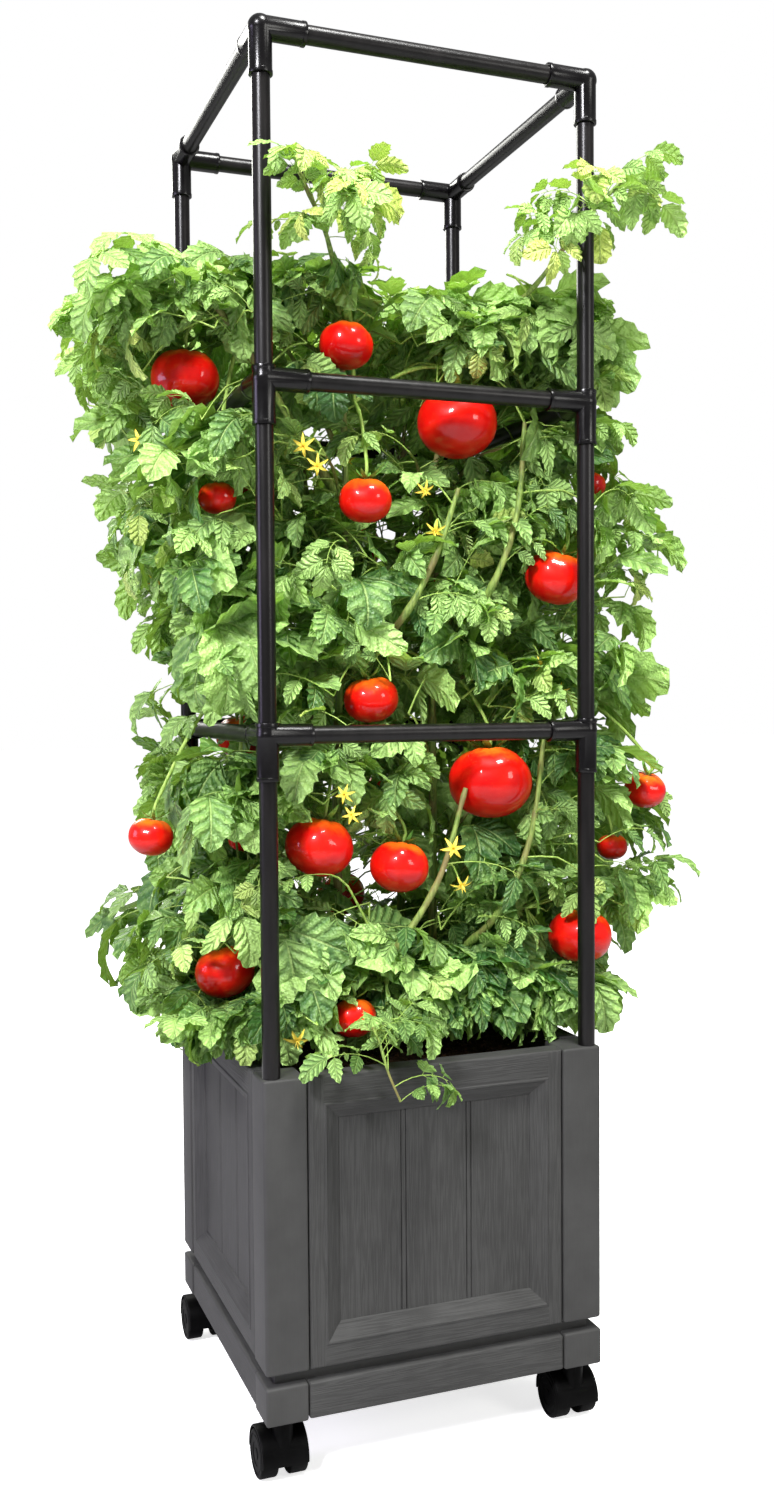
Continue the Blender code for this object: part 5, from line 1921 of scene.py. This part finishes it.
    def grow_outer_leaves(self, patterns: list[LeafPattern], rng: np.random.Generator, grown: dict) -> None:
        """Leaves that fill the outside of the crown, each on a stalk from the nearest twig."""
        knots = np.vstack([twig.path[2:] for twig in self.twigs if not twig.free])
        vines = [twig.vine for twig in self.twigs if not twig.free for _ in twig.path[2:]]
        for number in range(self.outer_leaves):
            place, outward = self.outer_place(rng)
            small = rng.uniform() < 0.3
            length = rng.uniform(0.085, 0.13) if small else rng.uniform(0.14, 0.235)
            if number < len(HANGING_LEAVES):
                place, outward, length, small = np.array(HANGING_LEAVES[number]), -2.2, 0.17, True
            for _ in range(self.tries):
                pattern = patterns[int(rng.integers(len(patterns)))]
                angle = outward + rng.uniform(-1.4, 1.4)
                low = place[2] < 0.52
                rise, bend = rng.uniform(-0.3, 0.6) if low else rng.uniform(-0.2, 1.2), rng.uniform(0.5, 2.2)
                heading = level_way(angle)
                foot = place - heading * length * 0.42 + np.array([0, 0, 0.12 * length])
                points = pattern.placed(foot, angle, rise, bend, length, rng.uniform(-0.9, 0.9))
                shift = self.crown.drawn_in(points)
                shift = shift + np.sign(shift) * rng.uniform(0.001, 0.02)
                points, foot = points + shift, foot + shift
                far = np.linalg.norm(knots - foot, axis=1)
                nearest = int(np.argmin(far))
                length *= 0.965
                if far[nearest] > self.longest_stalk:
                    continue
                if not self.has_room(pattern, points, rng.uniform(0.35, 0.9)):
                    continue
                knee = knots[nearest] * 0.4 + foot * 0.6 + np.array([0, 0, 0.15 * far[nearest]])
                path = smooth_path((knots[nearest], knee, foot), 0.03)
                if self.surroundings.crosses(path):
                    continue
                age = 0.3 + 0.22 * (place[2] - 0.45) + (0.24 if small else 0.0) + rng.uniform(-0.24, 0.34)
                grown[vines[nearest], bool(place[2] > self.upper_height)].append((pattern, points, age, path))
                break

    def has_room(self, pattern: LeafPattern, points: np.ndarray, share: float, free: bool = False) -> bool:
        """True if a leaf is in the crown, clear of solids, and not before the middle share of a tomato."""
        low, high = CAD_BOX
        if (points < np.array(low) + 0.001).any() or (points > np.array(high) - 0.001).any():
            return False
        if free and (points[:, 1] > -0.13).any():
            return False
        if not free and not self.crown.holds(points):
            return False
        if self.surroundings.hides_fruit(points, share):
            return False
        return not self.surroundings.touches(points, pattern.faces)

    def build_foliage(self, label: str, leaves: list) -> None:
        """Leaves as one piece, with their UV map and tints.

        Args:
            label: The piece's name after "leaves".
            leaves: Each leaf's pattern, points, tint and stalk.
        """
        foliage = Shapes()
        kinds: list[int] = []
        for pattern, placed, shade, path in leaves:
            foliage.add(placed, pattern.faces, pattern.uv, pattern.tint + shade - 0.5)
            kinds.extend([1] * pattern.stalk_faces + [0] * (len(pattern.faces) - pattern.stalk_faces))
            if path is not None:
                tube, quads = self.modeller.tube(path, *self.leaf_stalk_radius)
                foliage.add(tube, quads)
                kinds.extend([1] * len(quads))
        piece = foliage.piece(f"leaves_{label}")
        dress(piece, [self.leaf_finish, self.stalk_finish])
        piece.data.polygons.foreach_set("material_index", kinds)
        log.info("%s carries %d leaves", piece.name, len(leaves))


def level_way(angle: float) -> np.ndarray:
    """The level direction at an angle from +X."""
    return np.array([math.cos(angle), math.sin(angle), 0.0])


def turn_towards(direction: Vector, spin: float) -> Matrix:
    """The turn that takes +Z to a direction, after a spin about +Z."""
    return direction.to_track_quat("Z", "Y").to_matrix().to_4x4() @ Matrix.Rotation(spin, 4, "Z")


def moved(points: np.ndarray, matrix: Matrix) -> np.ndarray:
    """Points moved by a matrix."""
    parts = np.array(matrix)
    return points @ parts[:3, :3].T + parts[:3, 3]


@dataclass
class Blade:
    """A small pointed sheet, such as a petal or a sepal, along +Y from the origin, of length 1."""

    columns: int = 2
    rows: int = 5
    half_width: float = 0.16
    curl: float = 0.5
    cup: float = 0.25

    def model(self) -> tuple[np.ndarray, list, np.ndarray]:
        """Its points, its faces and its UV."""
        across, along, faces = strip(self.columns, self.rows)
        body = np.maximum(along, 0) ** 0.35 * np.maximum(1 - along, 0) ** 0.8 / 0.62
        half = self.half_width * (body + 0.02)
        x = across * half
        z = self.cup * np.abs(x) + self.curl * along**2
        y = along * (1 - 0.25 * abs(self.curl) * along)
        return np.column_stack([x, y, z]), faces, np.column_stack([across / 2 + 0.5, along])


@dataclass
class Tomatoes:
    """The trusses: ribbed fruits, their sepals and their stalks."""

    skin: Material
    stalk_finish: Material
    sepal_finish: Material
    squash: float = 0.86
    segments: int = 40
    rings: int = 24
    ribs: int = 5
    rib_depth: float = 0.1
    dimple: float = 0.17
    dimple_width: float = 0.3
    stalk_radius: float = 0.0022

    def build(self) -> None:
        """Builds each truss."""
        points, faces, uv = self.fruit_model()
        for label, truss in TRUSSES.items():
            rng = np.random.default_rng(SEED + 100 + sum(map(ord, label)))
            fruits = Shapes()
            sepals, stalks = [], []
            for tomato in truss.fruits:
                lean = Vector((rng.uniform(-0.25, 0.25), rng.uniform(-0.25, 0.25), 1)).normalized()
                spin = rng.uniform(0, math.tau)
                middle = Vector(tomato.middle)
                place = Matrix.Translation(middle) @ turn_towards(lean, spin) @ Matrix.Scale(tomato.radius, 4)
                fruits.add(moved(points, place), faces, uv, tomato.green)
                crown = middle + lean * tomato.radius * (self.squash - self.dimple * 0.75)
                sepals.append((crown, lean, spin, tomato.radius))
                stalks.append(self.stalk_to(truss, tomato, crown, lean))
            piece = fruits.piece(f"tomatoes_{label}")
            dress(piece, self.skin, stands_for=[f"truss_{label}"])
            self.join_stalks(label, stalks, sepals, rng)

    def fruit_model(self) -> tuple[np.ndarray, list, np.ndarray]:
        """A fruit of radius 1: its points, its faces and its UV."""
        clear_selection()
        bpy.ops.mesh.primitive_uv_sphere_add(segments=self.segments, ring_count=self.rings, radius=1)
        ball, faces = shape_of(bpy.context.object)
        x, y, z = ball.T
        around = np.arctan2(y, x)
        wide = np.hypot(x, y)
        uneven = around + 0.3 * np.sin(around + 0.8)
        rib = self.rib_depth * (np.abs(np.cos(uneven * self.ribs / 2)) ** 0.7 - 0.6) * wide**0.5
        high = np.clip(z, 0, 1)
        spread = 1 + rib * (0.25 + 0.75 * high**0.6)
        lift = self.squash * np.sign(z) * np.abs(z) ** 0.94
        lift = lift - self.dimple * np.exp(-((wide / self.dimple_width) ** 2)) * (z > 0)
        lift = lift + 0.05 * np.exp(-((wide / 0.14) ** 2)) * (z < 0) + rib * 0.8 * high
        points = np.column_stack([x * spread, y * spread, lift]) / (1 + self.rib_depth * 0.4)
        return points, faces, np.column_stack([around / math.tau + 0.5, (z + 1) / 2])

    def stalk_to(self, truss: Truss, tomato: Fruit, crown: Vector, lean: Vector) -> np.ndarray:
        """The path of a fruit's stalk, from the vine to its crown."""
        start = Vector(truss.start)
        above = crown + lean * 0.5 * tomato.radius + Vector((0, 0, 0.004))
        knee = start.lerp(above, 0.55) + Vector((0, 0, 0.016))
        return smooth_path([start, knee, above, crown + lean * 0.002, crown - lean * 0.003], 0.006)

    def join_stalks(self, label: str, stalks: list, crowns: list, rng: np.random.Generator) -> None:
        """A truss's stalks and sepals as one piece."""
        parts = [
            stalk("stalk", path, self.stalk_radius, self.stalk_radius * 0.85, sides=2, joint_gap=0.05)
            for path in stalks
        ]
        piece = join(f"stalks_{label}", parts)
        dress(piece, self.stalk_finish)
        sepals = Shapes()
        for crown, lean, spin, radius in crowns:
            count = int(rng.integers(5, 7))
            for number in range(count):
                blade = Blade(half_width=rng.uniform(0.1, 0.14), curl=rng.uniform(0.05, 0.65))
                shape, quads, uv = blade.model()
                around = spin + math.tau * number / count + rng.uniform(-0.15, 0.15)
                reach = radius * rng.uniform(0.62, 0.95) + 0.004
                base = turn_towards(lean, around) @ Matrix.Scale(reach, 4)
                lifted = np.column_stack([shape[:, 0], shape[:, 1], shape[:, 2] + 0.12 * shape[:, 1]])
                place = Matrix.Translation(crown + lean * 0.001) @ base
                sepals.add(moved(lifted, place), quads, uv)
        dress(sepals.piece(f"sepals_{label}", tinted=False), self.sepal_finish)


@dataclass
class Flowers:
    """Yellow star flowers: bent-back petals round a cone of anthers, on thin stalks."""

    petal_finish: Material
    stalk_finish: Material
    twigs: list[Twig]
    facing: Vector
    petals: int = 6
    anthers: int = 5
    size: tuple = (0.011, 0.015)

    def build(self) -> None:
        """Builds every flower, and a stalk from the nearest shoot to each."""
        rng = np.random.default_rng(SEED + 7)
        path_points = np.vstack([twig.path[1:-1] for twig in self.twigs])
        flowers = Shapes()
        stalks = []
        petal = Blade(half_width=0.17, curl=-0.55, cup=0.5, rows=5).model()
        cone = Blade(half_width=0.085, curl=0.0, cup=0.0, rows=4).model()
        for number, middle in enumerate(FLOWERS):
            outward = self.facing if middle[1] < 0 else -self.facing
            aim = (outward + Vector(rng.uniform(-0.5, 0.5, 3)) + Vector((0, 0, -0.45))).normalized()
            size = rng.uniform(*self.size)
            nearest = path_points[int(np.argmin(np.linalg.norm(path_points - middle, axis=1)))]
            place = Vector(middle)
            parts = ((self.petals, petal, 0.35, 1.0), (self.anthers, cone, 1.25, 0.8))
            for count, (shape, quads, uv), lean, scale in parts:
                for turn in range(count):
                    around = math.tau * turn / count + number
                    tilt = Matrix.Rotation(lean, 4, "X")
                    base = turn_towards(aim, around) @ tilt @ Matrix.Scale(size * scale, 4)
                    flowers.add(moved(shape, Matrix.Translation(place) @ base), quads, uv)
            back = place - aim * 0.012
            knee = Vector(nearest).lerp(back, 0.6) + Vector((0, 0, 0.012))
            path = smooth_path([nearest, knee, back, place], 0.006)
            stalks.append(stalk("stalk", path, 0.0011, 0.0008, sides=1))
        dress(flowers.piece("flowers", tinted=False), self.petal_finish)
        dress(join("flower_stalks", stalks), self.stalk_finish)


# ---------------------------------------------------------------- studio


@dataclass
class Studio:
    """The pale floor, the soft lights and the camera."""

    camera_place: tuple = (-0.5706, -1.559, 0.8263)
    camera_yaw: float = 20.608
    camera_pitch: float = -2.341
    camera_roll: float = -0.419
    lens: float = 33.57
    floor_size: float = 40.0
    ambient: float = 0.37

    def facing(self) -> Vector:
        """The level way from the plant to the camera."""
        return Vector((self.camera_place[0], self.camera_place[1], 0)).normalized()

    def build(self) -> None:
        """Sets up the floor, the world, the lights and the camera."""
        self.lay_floor()
        self.light_world()
        middle = Vector((0, 0, 0.75))
        self.add_light("key_light", (-2.0, -2.0, 2.7), middle, 0.5, 170, (0.96, 0.95, 1.0))
        self.add_light("fill_light", (1.6, -2.6, 1.6), middle, 0.8, 24, (1.0, 0.99, 0.94))
        self.add_light("side_light", (-3.0, 0.3, 1.3), middle, 1.2, 38, (0.74, 0.64, 1.0))
        self.add_light("back_light", (-0.6, 2.7, 2.3), middle, 1.2, 60, (1.0, 1.0, 0.94))
        self.add_light("top_light", (0.2, -1.2, 3.4), middle, 0.7, 150, (1.0, 1.0, 0.98))
        self.add_camera()

    def lay_floor(self) -> None:
        """A wide level floor."""
        clear_selection()
        bpy.ops.mesh.primitive_plane_add(size=self.floor_size, location=(0, 0, -0.0005))
        floor = settle(bpy.context.object)
        floor.name = "studio_floor"
        floor.data.materials.append(FloorFinish().material())

    def light_world(self) -> None:
        """A white surround that the camera sees brighter than it lights."""
        world = bpy.data.worlds.new("studio")
        bpy.context.scene.world = world
        world.use_nodes = True
        tree = world.node_tree
        tree.nodes.clear()
        rays = tree.nodes.new("ShaderNodeLightPath")
        strength = tree.nodes.new("ShaderNodeMapRange")
        strength.inputs["To Min"].default_value = self.ambient
        strength.inputs["To Max"].default_value = 1.0
        sky = tree.nodes.new("ShaderNodeBackground")
        sky.inputs["Color"].default_value = (1, 1, 1, 1)
        output = tree.nodes.new("ShaderNodeOutputWorld")
        tree.links.new(rays.outputs["Is Camera Ray"], strength.inputs["Value"])
        tree.links.new(strength.outputs["Result"], sky.inputs["Strength"])
        tree.links.new(sky.outputs["Background"], output.inputs["Surface"])

    def add_light(self, name: str, place: Point, aim: Vector, size: float, power: float,
                  colour: Point) -> None:
        """Adds a soft square light.

        Args:
            name: Its name.
            place: Where it hangs.
            aim: What it points at.
            size: Its width.
            power: Its power in watts.
            colour: Its colour.
        """
        data = bpy.data.lights.new(name, "AREA")
        data.size = size
        data.energy = power
        data.color = colour
        light = new_object(name, data)
        light.location = place
        light.rotation_euler = (aim - Vector(place)).to_track_quat("-Z", "Y").to_euler()

    def add_camera(self) -> None:
        """The camera, a little above the planter's middle and to its left."""
        yaw, pitch, roll = (math.radians(a) for a in (self.camera_yaw, self.camera_pitch, self.camera_roll))
        ahead = Vector((math.sin(yaw) * math.cos(pitch), math.cos(yaw) * math.cos(pitch), math.sin(pitch)))
        level = Vector((math.cos(yaw), -math.sin(yaw), 0))
        over = level.cross(ahead)
        right = level * math.cos(roll) + over * math.sin(roll)
        up = over * math.cos(roll) - level * math.sin(roll)
        data = bpy.data.cameras.new("camera")
        data.lens = self.lens
        data.sensor_width = 36
        camera = new_object("camera", data)
        axes = Matrix((right, up, -ahead)).transposed().to_4x4()
        camera.matrix_world = Matrix.Translation(self.camera_place) @ axes
        bpy.context.scene.camera = camera


def main() -> None:
    """Builds the planter, the trellis, the casters and the plant, then the studio."""
    logging.basicConfig(level=logging.INFO, format="%(message)s")
    bpy.context.scene.view_settings.view_transform = "Standard"
    studio = Studio()
    grained = PlanterFinish().material()
    smooth = PlanterFinish(name="planter_smooth", grain=0.12).material()
    PlanterBox(grained, smooth).build()
    PlanterBase(grained, smooth).build()
    SoilBed(SoilFinish().material()).build()
    gloss = BlackPlasticFinish("fitting_black", linear(4, 3, 4), linear(10, 9, 10), 0.16, 0.28)
    Trellis(TubeFinish().material(), gloss.material()).build()
    hood = BlackPlasticFinish("caster_black", linear(2, 2, 2), linear(6, 6, 6), 0.38, 0.05)
    tread = BlackPlasticFinish("wheel_black", linear(2, 2, 2), linear(6, 6, 6), 0.46, 0.05)
    Casters(hood.material(), tread.material()).build()
    old = linear(116, 92, 62)
    stems = StalkFinish("vine_stem", linear(78, 104, 40), linear(128, 150, 70), old, 0.6).material()
    stalks = StalkFinish("leaf_stalk", linear(120, 156, 60), linear(166, 192, 96), old, 0.1).material()
    sepals = StalkFinish("sepal_green", linear(62, 116, 36), linear(120, 168, 70), old, 0.0).material()
    surroundings = Surroundings(studio.facing())
    plant = Plant(stems, stalks, LeafFinish().material(), surroundings)
    plant.build()
    Tomatoes(FruitFinish().material(), stalks, sepals).build()
    Flowers(PetalFinish().material(), stalks, plant.twigs, studio.facing()).build()
    studio.build()


if __name__ == "__main__":
    main()
